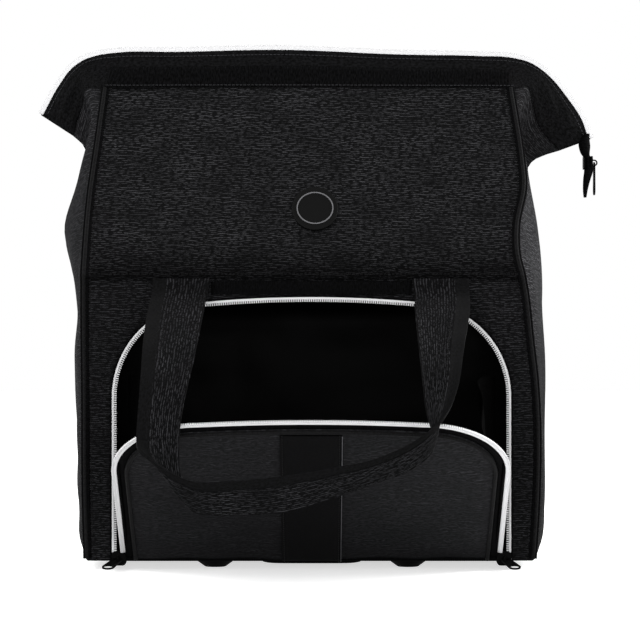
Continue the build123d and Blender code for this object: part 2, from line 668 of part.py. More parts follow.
def tail_parts():
    inner_y = chain_gap / 2
    outer_y = inner_y + chain_w
    x = tail_x
    tape_low = tail_slider_z - slider_len
    tape_len = tail_top_z - tape_low
    tapes = []
    for side in sides:
        middle_y = side * (inner_y + chain_w / 2)
        tapes.append(Pos(x, middle_y, tape_low + tape_len / 2) * Box(tail_tape_t, chain_w, tape_len))
    half = tail_fold_half_x
    fold_top = tail_slider_z - slider_len / 2 - cloth_gap
    fold_waist = (fold_top + tail_fold_low_z) / 2
    fold = Polygon((x - half, fold_top), (x + 0.6 * half, fold_top), (x + 0.4 * half, fold_waist),
                   (x - 0.6 * half, tail_fold_low_z), (x - 1.6 * half, tail_fold_low_z),
                   (x - 1.7 * half, fold_waist), align=None)
    nodes["zip_tail"] = front_solid(fold, -outer_y, outer_y) + tapes[0] + tapes[1]

    slider_back = x - chain_t / 2 - slider_back_gap - slider_plate_t - cloth_gap
    middle = slider_back - bulb_half_x
    bulb = Polygon((middle - 0.4 * bulb_half_x, bulb_top_z), (slider_back, bulb_top_z),
                   (slider_back, bulb_low_z + bulb_hem_h), (middle + 0.6 * bulb_half_x, bulb_low_z),
                   (middle, bulb_low_z), (middle - bulb_half_x, bulb_low_z + bulb_round_h), align=None)
    nodes["tail_fold"] = front_solid(bulb, -outer_y, outer_y)


base_parts()
wall_parts()
piping_parts()
lining_parts()
front_trim_parts()
mouth_half("front", hem_y, lambda solid: solid)
mouth_half("rear", half_depth, mirror_y)
frame_wire("front", frame_tilt, -1)
frame_wire("rear", -frame_tilt, 1)
pivot_parts()
door_parts()
door_gusset_parts()
handle_parts()
slider_parts()
tail_parts()

whole = Compound([solid for shape in nodes.values() for solid in shape.solids()]).bounding_box()
shift = Pos(-whole.center().X, -whole.center().Y, -whole.min.Z)

os.makedirs("parts", exist_ok=True)
for name, shape in nodes.items():
    solids = (shift * shape).solids()
    export_step(solids[0] if len(solids) == 1 else Compound(solids), f"parts/{name}.step")
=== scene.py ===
import bpy
import json
import math
import numpy as np
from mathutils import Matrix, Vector

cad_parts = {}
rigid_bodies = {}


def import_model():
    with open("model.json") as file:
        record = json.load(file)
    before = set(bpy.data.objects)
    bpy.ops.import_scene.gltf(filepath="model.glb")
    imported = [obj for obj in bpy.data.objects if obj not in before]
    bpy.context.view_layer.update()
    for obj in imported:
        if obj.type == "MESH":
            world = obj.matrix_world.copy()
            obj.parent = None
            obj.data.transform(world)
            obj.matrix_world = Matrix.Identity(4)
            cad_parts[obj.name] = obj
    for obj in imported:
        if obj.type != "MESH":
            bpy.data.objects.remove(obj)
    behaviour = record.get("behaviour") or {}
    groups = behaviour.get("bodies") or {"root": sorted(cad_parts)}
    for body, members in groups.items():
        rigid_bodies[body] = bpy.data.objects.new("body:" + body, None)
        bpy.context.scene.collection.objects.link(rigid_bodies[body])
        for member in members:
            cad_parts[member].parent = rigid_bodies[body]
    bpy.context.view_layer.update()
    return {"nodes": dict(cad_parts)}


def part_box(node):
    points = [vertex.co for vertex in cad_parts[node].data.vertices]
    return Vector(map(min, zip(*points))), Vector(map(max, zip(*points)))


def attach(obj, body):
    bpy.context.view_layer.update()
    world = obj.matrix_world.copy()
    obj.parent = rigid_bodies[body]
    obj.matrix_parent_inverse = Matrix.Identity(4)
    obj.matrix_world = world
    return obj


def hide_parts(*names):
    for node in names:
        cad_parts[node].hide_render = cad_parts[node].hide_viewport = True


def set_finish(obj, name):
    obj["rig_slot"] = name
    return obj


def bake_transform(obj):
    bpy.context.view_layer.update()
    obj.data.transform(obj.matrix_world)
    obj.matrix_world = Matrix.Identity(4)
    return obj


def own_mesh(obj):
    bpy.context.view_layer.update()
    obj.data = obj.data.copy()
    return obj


# Cloth and finish for a black structured tote whose front pocket door is folded forward.
# All lengths below are millimetres about the bag's own centre plane; place() moves them
# to the shared frame. -Y is the front.
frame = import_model()
nodes = frame["nodes"]

backFace = 105.0                       # outer face of the back below the lean
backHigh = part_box("back_panel")[1]
webLow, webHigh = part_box("door_webbing")
bagMiddle = np.array([(webLow.x + webHigh.x) / 2, backHigh.y - backFace / 1000, 0.0])


def place(points):
    # millimetres about the bag's centre, divided by 1000 and moved by the bag's middle
    return np.asarray(points, float) / 1000 + bagMiddle


def unit(v):
    # each vector divided by its own length
    return v / np.maximum(np.linalg.norm(v, axis=-1, keepdims=True), 1e-9)


def hermite(values, knots, where):
    # cubic through the values at the knots; each slope is the mean of its neighbours'
    values = np.asarray(values, float)
    knots = np.asarray(knots, float)
    slope = np.gradient(values, knots, axis=0)
    k = np.clip(np.searchsorted(knots, where, side="right") - 1, 0, len(knots) - 2)
    step = knots[k + 1] - knots[k]
    t = np.clip((where - knots[k]) / step, 0, 1)
    if values.ndim > 1:
        step = step[:, None]
        t = t[:, None]
    a = (1 + 2 * t) * (1 - t) ** 2
    b = t * (1 - t) ** 2 * step
    c = t * t * (3 - 2 * t)
    d = t * t * (t - 1) * step
    return a * values[k] + b * slope[k] + c * values[k + 1] + d * slope[k + 1]


def smoothLine(x, xs, ys):
    # one height read off a smooth line through a few (x, y) points
    x = np.asarray(x, float)
    return hermite(ys, xs, np.clip(x, xs[0], xs[-1]).ravel()).reshape(x.shape)


def runOf(path):
    # distance along a path at each of its points: the running sum of its steps
    return np.concatenate([[0], np.cumsum(np.linalg.norm(np.diff(path, axis=0), axis=1))])


def curveThrough(points, count):
    # smooth curve through points, sampled evenly in the chord distance
    points = np.asarray(points, float)
    chord = runOf(points)
    return hermite(points, chord, np.linspace(0, chord[-1], count))


def evenly(path, step):
    # the same path with its points one step apart
    run = runOf(path)
    count = max(2, int(round(run[-1] / step)) + 1)
    at = np.linspace(0, run[-1], count)
    return np.stack([np.interp(at, run, path[:, k]) for k in range(path.shape[1])], 1)


def softWaves(u, v, size, seed):
    # five sine waves in different directions added up, between about -1 and 1
    rng = np.random.default_rng(seed)
    total = np.zeros(np.broadcast(u, v).shape)
    for k in range(5):
        turn = rng.uniform(0, 2 * math.pi)
        often = rng.uniform(0.6, 1.7) * 2 * math.pi / size
        total = total + np.sin((u * math.cos(turn) + v * math.sin(turn)) * often + rng.uniform(0, 6.3))
    return total / 3


def ease(t):
    # soft step: three t squared less two t cubed, with t held between 0 and 1
    t = np.clip(t, 0, 1)
    return t * t * (3 - 2 * t)


def addMesh(name, points, faces, cornerUv, finishes, zones=None, smooth=True):
    # points in millimetres, faces as lists of point numbers, one uv pair for each face corner
    mesh = bpy.data.meshes.new(name)
    mesh.from_pydata(place(points).tolist(), [], faces)
    layer = mesh.uv_layers.new(name="UVMap")
    layer.data.foreach_set("uv", (np.asarray(cornerUv, float) / 1000).astype(np.float32).ravel())
    for finish in finishes:
        mesh.materials.append(finish)
    if zones is not None:
        mesh.polygons.foreach_set("material_index", np.asarray(zones, np.int32))
    mesh.polygons.foreach_set("use_smooth", np.full(len(mesh.polygons), smooth))
    mesh.update()
    piece = bpy.data.objects.new(name, mesh)
    bpy.context.scene.collection.objects.link(piece)
    return piece


def signedVolume(points, faces):
    # sum over the faces of corner a dotted with the cross product of corners b and c
    a, b, c = (points[[f[k] for f in faces]] for k in (0, 1, 2))
    return float(np.einsum("ij,ij->i", a, np.cross(b, c)).sum())


def addWall(piece, thick, offset=-1):
    # a sheet gets its thickness inwards, or to both sides with offset 0
    wall = piece.modifiers.new("wall", "SOLIDIFY")
    wall.thickness = thick / 1000
    wall.offset = offset


def gridPiece(name, grid, uv, finishes, outward=None, around=False, capped=False, zones=None,
              thick=0, smooth=True):
    # a sheet or tube from a (rows, cols, 3) grid; uv has one more column when it goes around. The
    # faces are turned so that they point along outward, or away from the tube's middle
    rows, cols = grid.shape[:2]
    across = cols if around else cols - 1
    i, j = np.meshgrid(np.arange(rows - 1), np.arange(across), indexing="ij")
    i, j = i.ravel(), j.ravel()
    nextJ = (j + 1) % cols
    faces = np.stack([i * cols + j, i * cols + nextJ, (i + 1) * cols + nextJ, (i + 1) * cols + j], 1)
    uvCols = uv.shape[1]
    uvFlat = uv.reshape(-1, 2)
    corner = np.stack([i * uvCols + j, i * uvCols + j + 1, (i + 1) * uvCols + j + 1, (i + 1) * uvCols + j], 1)
    points = grid.reshape(-1, 3)
    if outward is None:
        turn = signedVolume(points - points.mean(0), faces.tolist()) < 0
    else:
        a, b, c = points[faces[:, 0]], points[faces[:, 1]], points[faces[:, 2]]
        turn = np.einsum("ij,j->", np.cross(b - a, c - a), np.asarray(outward, float)) < 0
    if turn:
        faces, corner = faces[:, ::-1], corner[:, ::-1]
    faceList = faces.tolist()
    cornerUv = uvFlat[corner.ravel()]
    if capped:
        first = list(range(cols))
        last = list(range((rows - 1) * cols, rows * cols))
        if turn:
            last = last[::-1]
        else:
            first = first[::-1]
        faceList += [first, last]
        cornerUv = np.concatenate([cornerUv, uvFlat[first], uvFlat[last]])
    piece = addMesh(name, points, faceList, cornerUv, finishes, zones, smooth)
    if thick:
        addWall(piece, thick)
    return piece


def sheetUv(grid):
    # uv in millimetres: mean run along each direction of the grid
    u = np.cumsum(np.concatenate([[0], np.linalg.norm(np.diff(grid, axis=1), axis=2).mean(0)]))
    v = np.cumsum(np.concatenate([[0], np.linalg.norm(np.diff(grid, axis=0), axis=2).mean(1)]))
    return np.stack(np.meshgrid(u, v), -1)


def roundBar(radius, corners=10):
    # outline of a cord: cosine and sine of even angles times the radius
    a = np.arange(corners) * 2 * math.pi / corners
    return np.stack([radius * np.cos(a), radius * np.sin(a)], 1)


def roundStrip(width, thick, edge):
    # closed outline of a strip with rounded edges: a quarter circle at each corner
    a = np.radians([0, 30, 60, 90])
    w, h = width / 2 - edge, thick / 2 - edge
    quarter = np.stack([edge * np.cos(a), edge * np.sin(a)], 1)
    turns = [(w, h, 0), (-w, h, 90), (-w, -h, 180), (w, -h, 270)]
    parts = []
    for x, y, deg in turns:
        c, s = math.cos(math.radians(deg)), math.sin(math.radians(deg))
        parts.append(quarter @ np.array([[c, s], [-s, c]]) + [x, y])
    return np.concatenate(parts)


def carry(name, path, side, profile, finishes):
    # a profile carried along a path: its first coordinate along side, its second across both
    tangent = unit(np.gradient(path, axis=0))
    side = np.broadcast_to(np.asarray(side, float), path.shape)
    side = unit(side - (side * tangent).sum(1, keepdims=True) * tangent)
    up = np.cross(side, tangent)
    grid = path[:, None] + profile[None, :, :1] * side[:, None] + profile[None, :, 1:] * up[:, None]
    loop = np.concatenate([profile, profile[:1]])
    uv = np.stack(np.meshgrid(runOf(loop), runOf(path)), -1)
    return gridPiece(name, grid, uv, finishes, around=True, capped=True)


def blockRow(name, centres, along, side, size, finish, taper=0.7):
    # one small block at each centre, narrower on top by the taper; size is (along, side, up)
    along = unit(along)
    side = unit(side - (side * along).sum(1, keepdims=True) * along)
    up = np.cross(side, along)
    a, b, c = (np.array(size) / 2).tolist()
    corners = np.array([[-a, -b, -c], [a, -b, -c], [a, b, -c], [-a, b, -c],
                        [-a * taper, -b * taper, c], [a * taper, -b * taper, c],
                        [a * taper, b * taper, c], [-a * taper, b * taper, c]])
    points = (centres[:, None] + corners[None, :, :1] * along[:, None]
              + corners[None, :, 1:2] * side[:, None] + corners[None, :, 2:] * up[:, None])
    block = np.array([[0, 3, 2, 1], [4, 5, 6, 7], [0, 1, 5, 4], [1, 2, 6, 5], [2, 3, 7, 6], [3, 0, 4, 7]])
    if np.linalg.det(np.stack([along[0], side[0], up[0]])) < 0:
        block = block[:, ::-1]
    faces = (block[None] + 8 * np.arange(len(centres))[:, None, None]).reshape(-1, 4)
    uv = np.tile([[0, 0], [1, 0], [1, 1], [0, 1]], (len(faces), 1))
    return addMesh(name, points.reshape(-1, 3), faces.tolist(), uv, [finish], smooth=False)


def linear(code):
    # sRGB hex to linear colour
    code = code.lstrip("#")
    c = np.array([int(code[k:k + 2], 16) for k in (0, 2, 4)]) / 255
    c = np.where(c <= 0.04045, c / 12.92, ((c + 0.055) / 1.055) ** 2.4)
    return (*c.tolist(), 1.0)


def addNode(tree, kind, settings=None, values=None, links=None):
    # one node with its settings, its socket values and what is plugged into it
    node = tree.nodes.new(kind)
    for key, value in (settings or {}).items():
        setattr(node, key, value)
    for key, value in (values or {}).items():
        node.inputs[key].default_value = value
    for key, source in (links or {}).items():
        tree.links.new(source, node.inputs[key])
    return node


def newFinish(name, rough, specular=0.3, metallic=0.0, colour="#808080"):
    # a plain material of one colour; gives the material, its tree and its shader
    finish = bpy.data.materials.new(name)
    finish.use_nodes = True
    shader = finish.node_tree.nodes["Principled BSDF"]
    shader.inputs["Base Color"].default_value = linear(colour)
    shader.inputs["Roughness"].default_value = rough
    shader.inputs["Specular IOR Level"].default_value = specular
    shader.inputs["Metallic"].default_value = metallic
    return finish, finish.node_tree, shader


def plainFinish(name, rough, specular, colour, metallic=0.0):
    # the material alone, where nothing is plugged into it
    return newFinish(name, rough, specular, metallic, colour)[0]


def bumpInto(tree, shader, height, depth, strength):
    # relief of the given depth in millimetres from a height between 0 and 1
    bump = addNode(tree, "ShaderNodeBump", values={"Strength": strength, "Distance": depth / 1000},
                   links={"Height": height})
    tree.links.new(bump.outputs["Normal"], shader.inputs["Normal"])


def spreadUv(tree, alongMm, acrossMm):
    # the uv map counted in pattern repeats: alongMm by acrossMm for each
    coord = addNode(tree, "ShaderNodeTexCoord")
    scale = (1000 / alongMm, 1000 / acrossMm, 1)
    return addNode(tree, "ShaderNodeMapping", values={"Scale": scale},
                   links={"Vector": coord.outputs["UV"]}).outputs["Vector"]


def flatNoise(tree, alongMm, acrossMm, detail):
    # cloudy noise on the cloth's own surface, between 0 and 1
    return addNode(tree, "ShaderNodeTexNoise", {"noise_dimensions": "2D"}, {"Scale": 1.0, "Detail": detail},
                   {"Vector": spreadUv(tree, alongMm, acrossMm)}).outputs["Fac"]


def ramp(tree, source, low, high, colours=("#000000", "#ffffff")):
    # straight change from the first colour at low to the second at high
    node = addNode(tree, "ShaderNodeValToRGB", links={"Fac": source})
    for stop, at, colour in zip(node.color_ramp.elements, (low, high), colours):
        stop.position = at
        stop.color = linear(colour)
    return node.outputs["Color"]


def product(tree, first, second):
    # the two values multiplied
    return addNode(tree, "ShaderNodeMath", {"operation": "MULTIPLY"}, links={0: first, 1: second}).outputs[0]


weave = {
    "oneBand": math.pi / 10,           # wave scale that gives one row for each repeat
    "flow": (16, 9),                   # mm over which the rows wander
    "patch": (30, 24),                 # mm over which the flecks grow strong and weak
    "thread": (3.0, 1.1),              # mm of the ground's own yarn
    "fleckDepth": 0.25,                # mm that a float stands proud
    "shadeTop": 500,                   # mm of height at the end of the shade's ramp
}


def paintedHeightShade(tree, colour, paintedShade):
    # painted light and shade by height: the colour times a grey, which is read off (height in mm, level) stops
    height = addNode(tree, "ShaderNodeSeparateXYZ", links={0: spreadUv(tree, 1000, weave["shadeTop"])})
    tone = addNode(tree, "ShaderNodeValToRGB", links={"Fac": height.outputs["Y"]})
    stops = tone.color_ramp.elements
    for k, (mm, level) in enumerate(paintedShade):
        at = mm / weave["shadeTop"]
        stop = stops[k] if k < 2 else stops.new(at)
        stop.position = at
        stop.color = (level, level, level, 1)
    mix = addNode(tree, "ShaderNodeMix", {"data_type": "RGBA", "blend_type": "MULTIPLY"},
                  {"Factor": 1.0}, {6: colour, 7: tone.outputs["Color"]})
    return mix.outputs[2]


def jacquard(name, ground, fleck, dash=4.0, pitch=1.8, wander=0.6, paintedShade=None):
    # woven polyester: a matt dark ground plus rows of short pale floats; a fleck is there where the
    # row's wave, the noise that breaks it and the slow patches are all high
    finish, tree, shader = newFinish(name, 0.85, 0.02)
    flow = flatNoise(tree, *weave["flow"], 1.0)
    lift = addNode(tree, "ShaderNodeCombineXYZ", links={"Y": flow})
    rise = addNode(tree, "ShaderNodeVectorMath", {"operation": "SCALE"}, {"Scale": wander * 3},
                   {0: lift.outputs[0]})
    where = addNode(tree, "ShaderNodeVectorMath", {"operation": "ADD"},
                    links={0: spreadUv(tree, dash, pitch), 1: rise.outputs[0]})
    rows = addNode(tree, "ShaderNodeTexWave", {"bands_direction": "Y"}, {"Scale": weave["oneBand"]},
                   {"Vector": where.outputs[0]})
    breaks = addNode(tree, "ShaderNodeTexNoise", {"noise_dimensions": "2D"},
                     {"Scale": 1.0, "Detail": 1.0, "Roughness": 0.6}, {"Vector": where.outputs[0]})
    line = ramp(tree, rows.outputs["Fac"], 0.35, 0.85)
    gap = ramp(tree, breaks.outputs["Fac"], 0.4, 0.62)
    strength = ramp(tree, flatNoise(tree, *weave["patch"], 2.0), 0.2, 0.7, ("#9a9a9a", "#ffffff"))
    mask = product(tree, product(tree, line, gap), strength)
    base = ramp(tree, flatNoise(tree, *weave["thread"], 2.0), 0.3, 0.7, ground)
    mixed = addNode(tree, "ShaderNodeMix", {"data_type": "RGBA"}, {7: linear(fleck)}, {"Factor": mask, 6: base})
    colour = mixed.outputs[2]
    # optional painted shade by height, darkening the colour where the panel gets less light
    if paintedShade:
        colour = paintedHeightShade(tree, colour, paintedShade)
    tree.links.new(colour, shader.inputs["Base Color"])
    bumpInto(tree, shader, mask, weave["fleckDepth"], 0.4)
    return finish


def ribbed(name, colour, pitch, depth=0.35):
    # woven tape or webbing: close ribs across its run, one wave for each pitch, and a fuzzy yarn tone
    finish, tree, shader = newFinish(name, 0.75, 0.015)
    rib = addNode(tree, "ShaderNodeTexWave", {"bands_direction": "Y"},
                  {"Scale": weave["oneBand"], "Distortion": 0.35, "Detail": 1.0},
                  {"Vector": spreadUv(tree, pitch * 3, pitch)})
    tone = ramp(tree, flatNoise(tree, 3.0, 1.2, 2.0), 0.3, 0.75, colour)
    tree.links.new(tone, shader.inputs["Base Color"])
    bumpInto(tree, shader, rib.outputs["Fac"], depth, 0.5)
    return finish


def plainCloth(name, colour, rough, grain, specular):
    # smooth woven lining or fine cloth: even colour with a faint thread grain
    finish, tree, shader = newFinish(name, rough, specular)
    yarn = flatNoise(tree, grain * 1.6, grain, 2.0)
    tone = ramp(tree, yarn, 0.3, 0.7, colour)
    tree.links.new(tone, shader.inputs["Base Color"])
    bumpInto(tree, shader, yarn, 0.12, 0.3)
    return finish


# outer cloth: jacquard-woven polyester, in copies with painted light and shade; the upper panel leans back and
# catches more light than the upright cloth, painted in as a paler fleck, with painted shade darkening it towards
# the hem; the right side falls into a fold under the hem, painted as shade
upperPaintedLightCloth = jacquard("jacquardPolyesterUpperPaintedLight", ("#080808", "#0f0f10"), "#39393b",
                      paintedShade=[(282, 0.25), (325, 0.95), (500, 1.0)])
lowerCloth = jacquard("jacquardPolyesterLower", ("#080808", "#0f0f10"), "#2d2d2f")
# left side: a copy painted a little paler for the light on that side
leftPaintedLightCloth = jacquard("jacquardPolyesterLeftPaintedLight", ("#0d0d0e", "#171718"), "#353537")
# right side: a copy painted paler for its strong light, with painted shade from the base to the hem and near the
# top, around a painted band of light
rightPaintedLightCloth = jacquard("jacquardPolyesterRightPaintedLight", ("#151516", "#202021"), "#4a4a4c",
                      paintedShade=[(0, 0.3), (130, 0.34), (230, 0.8), (270, 1.0), (325, 1.0), (370, 0.5),
                             (500, 0.5)])
# the straps' cloth has straighter rows, and the door's a finer and paler fleck on a ground painted paler for the
# light that the floor throws up onto the door's downward face
strapCloth = jacquard("jacquardPolyesterStrap", ("#060606", "#0b0b0c"), "#2d2d2f", 4.2, 1.8, 0.3)
doorCloth = jacquard("finePolyesterDoor", ("#151516", "#1e1e1f"), "#2e2e30", 4.6, 1.9, 1.2)
# calendered taffeta inside, and the same cloth unpressed in the door's bellows
liningCloth = plainCloth("taffetaLining", ("#000000", "#010101"), 0.5, 1.2, 0.015)
bellowsCloth = plainCloth("mattTaffetaBellows", ("#000000", "#020202"), 0.8, 1.2, 0.005)
# fine polyester of the mouth's bands and wings
bandCloth = plainCloth("mouthBandPolyester", ("#070707", "#131314"), 0.85, 1.9, 0.01)
# narrow woven goods: binding tape, the tape over the wire, and stock webbing on the door
tapeCloth = ribbed("ribbedPolyesterTape", ("#030303", "#09090a"), 1.9)
bandTape = ribbed("ribbedWireTape", ("#010101", "#0c0c0d"), 3.2, depth=0.5)
webbingCloth = ribbed("wovenWebbing", ("#090909", "#101011"), 1.5, depth=0.2)
# plain cloth of the strap's dark zone along one edge, and the cloth round the piping cord
darkStrap = plainCloth("strapDarkZoneCloth", ("#060606", "#0e0e0f"), 0.85, 1.5, 0.03)
cordCloth = plainCloth("pipedEdgeCloth", ("#090909", "#131314"), 0.7, 1.4, 0.04)
# satin nylon of the zips, and spun polyester sewing thread in three shades; the pale one only draws a line down the
# webbing's right edge
coilWhite = plainFinish("nylonCoilWhite", 0.5, 0.3, "#cfcfd0")
threadBlack = plainFinish("polyesterThread", 0.7, 0.1, "#0c0c0d")
threadPale = plainFinish("polyesterThreadPale", 0.7, 0.1, "#4c4c4f")
threadGrey = plainFinish("polyesterThreadGrey", 0.7, 0.1, "#29292b")
# lacquered zinc of the sliders and pulls, and bright drawn steel of the wires and rivets
zincBlack = plainFinish("lacqueredZincBlack", 0.5, 0.02, "#030303")
springSteel = plainFinish("springSteelWire", 0.3, 0.5, "#b9babc", 1.0)
# moulded plastics: matt feet, soft rubber badge with a paler inlay, extruded base board
mouldedFoot = plainFinish("mouldedPolypropylene", 0.6, 0.015, "#020202")
badgeRubber = plainFinish("mouldedSoftRubber", 0.6, 0.06, "#050505")
badgePrint = plainFinish("paleRubberInlay", 0.7, 0.15, "#5c5c5e")
stiffBoard = plainFinish("extrudedBoard", 0.6, 0.3, "#1a1a1b")
print("materials done")

bag = {
    "floorZ": 8.0,          # underside of the base
    "hemZ": 250.0,
    "leanZ": 256.0,         # the walls lean in above this
    "hemOut": 109.6,        # upper front panel's hem
    "ridgeZ": 455.0,
    "ridgeOut": 4.2,
    "seamZ": 421.5,         # the mouth band is sewn on here
}
# x of the corner seams at a few heights: left nearly straight, right pinched under the hem
cornerLine = {
    -1: ([8, 60, 150, 256, 326, 367, 421.5], [-192.5, -194, -194.5, -195, -192.5, -188.5, -183.5]),
    1: ([8, 57, 127, 163, 198, 242, 275, 295, 335, 355, 421.5],
        [190, 193, 194, 192, 188, 183, 176.5, 177, 185, 184, 176.5]),
}
# x of the side panels' middle line: bulges and one pleat on the left below the wing
middleLine = {
    -1: ([8, 23, 45, 70, 124, 175, 215, 240, 263, 290, 320, 355, 370, 380],
         [-200, -206, -206, -207.5, -209, -210, -208, -211, -216, -221, -212, -203, -204, -214]),
    1: ([8, 20, 50, 124, 178, 215, 246, 274, 310, 341, 352, 357.5, 362, 367],
        [199, 204, 206, 206, 206.5, 205.5, 206, 204, 198, 194.5, 194, 198, 206.5, 222]),
}
# matched points: along the zip (x, z) and along the band's lower seam (x, z, distance from centre)
mouthLine = {
    "zip": [(-243, 402), (-228, 428.5), (-216.5, 444), (-205, 452), (-193.5, 456), (-175, 458.6),
            (-120, 459.4), (-28, 461.2), (80, 457), (151, 455.6), (178, 454.2), (197, 449.2), (207.5, 442.5),
            (218, 433), (228.5, 420), (239, 405.5), (245.5, 393), (250, 380.5)],
    "seam": [(-214, 380, 1.6), (-209, 398, 4.5), (-205, 411, 9), (-203, 421, 14), (-197, 422.5, 17.5),
             (-183, 421.5, 22), (-120, 421.5, 22), (-28, 421.5, 22), (80, 421.5, 22), (150, 421.5, 22),
             (176, 421.5, 22), (187, 423, 17), (193, 423.5, 14), (197, 412, 11), (200, 399, 8.5),
             (203, 389, 6.5), (209, 380.5, 4.5), (222, 367, 1.6)],
}
sideNames = {-1: "left", 1: "right"}
halves = ((-1, "front_mouth", "front"), (1, "rear_mouth", "rear"))     # -1 and 1 are the way out


def cornerX(side, z):
    # x of the left (-1) or right (1) corner seam at a height
    return smoothLine(z, *cornerLine[side])


def frontY(z):
    # outer face of the lower panel, then of the leaning upper panel
    lean = (bag["hemOut"] - bag["ridgeOut"]) / (bag["ridgeZ"] - bag["leanZ"])
    return -(bag["hemOut"] - np.maximum(0, z - bag["leanZ"]) * lean)


def rearY(z):
    # outer face of the back: upright, then leaning in on a straight line
    lean = (backFace - bag["ridgeOut"]) / (bag["ridgeZ"] - bag["leanZ"])
    return backFace - np.maximum(0, z - bag["leanZ"]) * lean


def mouthBlend(piece):
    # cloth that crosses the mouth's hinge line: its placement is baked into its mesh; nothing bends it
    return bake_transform(piece)


pocket = {"halfWidth": 172.0, "sideZ": 149.0, "topZ": 231.0, "crown": 4.0, "backY": -78.6}


def archPath(inset, lowZ, step=4.0):
    # up the left side, round a quarter circle, over the crowned top and down again, in x and z
    w, r = pocket["halfWidth"] - inset, pocket["topZ"] - pocket["sideZ"] - inset
    top = pocket["topZ"] - inset
    a = np.radians(np.linspace(180, 90, 24))
    corner = np.stack([-w + r + r * np.cos(a), pocket["sideZ"] + r * np.sin(a)], 1)
    flat = -corner[-1, 0]
    x = np.linspace(-flat, flat, 30)[1:-1]
    crown = np.stack([x, top + pocket["crown"] * (1 - (x / flat) ** 2)], 1)
    half = np.concatenate([[[-w, lowZ]], corner])
    whole = np.concatenate([half, crown, (half * [-1, 1])[::-1]])
    return evenly(whole, step)


def onPlane(path, y):
    # an (x, z) path stood up at one y
    return np.stack([path[:, 0], np.full(len(path), float(y)), path[:, 1]], 1)


def inwardOf(path):
    # unit vectors in x and z that point into the arch
    t = unit(np.gradient(path, axis=0))
    return np.stack([t[:, 1], np.zeros(len(path)), -t[:, 0]], 1)


door = {
    "openDeg": 55,          # the angle at which the door rests, folded forward
    "hingeZ": 10,
    "lowZ": 11,             # lower edge of the door's cloth
    "clothInset": 19.6,     # from the opening's outline to the edge of the cloth
    "clothY": -106.2,       # faces when shut: outer cloth, lining and piping
    "liningY": -103.4,
    "pipingY": -107.2,
    "pipingInset": 21.0,
    "belly": 2.2,           # how far the cloth swells
}


def openDoor(points):
    # turn about the door's bottom edge by the angle at which it rests
    turn = math.radians(door["openDeg"])
    y, z = points[..., 1] + backFace, points[..., 2] - door["hingeZ"]
    c, s = math.cos(turn), math.sin(turn)
    return np.stack([points[..., 0], -backFace + y * c - z * s, door["hingeZ"] + y * s + z * c], -1)


frontPanel = {
    "archX": -90.0,         # centre and radius of the opening's upper corner
    "archR": 82.0,
    "edgeX": 194.0,         # mean half width at the corner seams
    "reachX": -104,         # from the arch's centre to the corner seam and to the hem
    "reachZ": 106,
    "faceY": -105.0,
    "swell": 0.9,
    "thick": 2.4,
}


def lowerFront():
    # arched frame: straight lines from the pocket's outline out to the corner seams and the hem
    c, r, sideZ = frontPanel["archX"], frontPanel["archR"], pocket["sideZ"]
    legs = np.linspace(bag["floorZ"], sideZ, 20)
    turn = np.radians(np.concatenate([np.linspace(180, 134.5, 12), np.linspace(134.5, 90, 12)[1:]]))
    reach = np.minimum(frontPanel["reachX"] / np.minimum(np.cos(turn), -1e-6),
                       frontPanel["reachZ"] / np.maximum(np.sin(turn), 1e-6))
    flat = np.linspace(c, -c, 24)[1:-1]
    innerHalf = np.concatenate([np.stack([np.full(20, -pocket["halfWidth"]), legs], 1)[:-1],
                                np.stack([c + r * np.cos(turn), sideZ + r * np.sin(turn)], 1)])
    outerHalf = np.concatenate([np.stack([np.full(20, -frontPanel["edgeX"]), legs], 1)[:-1],
                                np.stack([c + reach * np.cos(turn), sideZ + reach * np.sin(turn)], 1)])
    innerTop = np.stack([flat, pocket["topZ"] + pocket["crown"] * (1 - (flat / c) ** 2)], 1)
    outerTop = np.stack([flat, np.full(len(flat), sideZ + frontPanel["reachZ"])], 1)
    inner = np.concatenate([innerHalf, innerTop, (innerHalf * [-1, 1])[::-1]])
    outer = np.concatenate([outerHalf, outerTop, (outerHalf * [-1, 1])[::-1]])
    for side in (-1, 1):
        mine = np.sign(outer[:, 0]) == side
        outer[mine, 0] *= cornerX(side, outer[mine, 1]) * side / frontPanel["edgeX"]
    t = np.linspace(0, 1, 9)[None, :, None]
    flatGrid = inner[:, None] * (1 - t) + outer[:, None] * t
    x, z = flatGrid[..., 0], flatGrid[..., 1]
    edge = np.minimum(t[..., 0] * 6, 1) * np.minimum((1 - t[..., 0]) * 6, 1)
    y = frontPanel["faceY"] - edge * frontPanel["swell"] * (1 + softWaves(x, z, 130, 3))
    grid = np.stack([x, y, z], -1)
    piece = gridPiece("lowerFrontCloth", grid, np.stack([x, z], -1), [lowerCloth], outward=(0, -1, 0),
                      thick=frontPanel["thick"])
    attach(piece, "root")
    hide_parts("front_lower_panel")


leaning = {
    "seamIn": 1.5,          # the cloth turns in here at each corner seam
    "wave": 1.1,
    "settle": 0.6,
    "rollOut": 2.6,         # soft roll above the hem, its middle height and its width
    "rollZ": 268,
    "rollWide": 9,
    "slope": 1.13,          # cloth length for each mm of height on the lean
    "thick": 2.4,
}


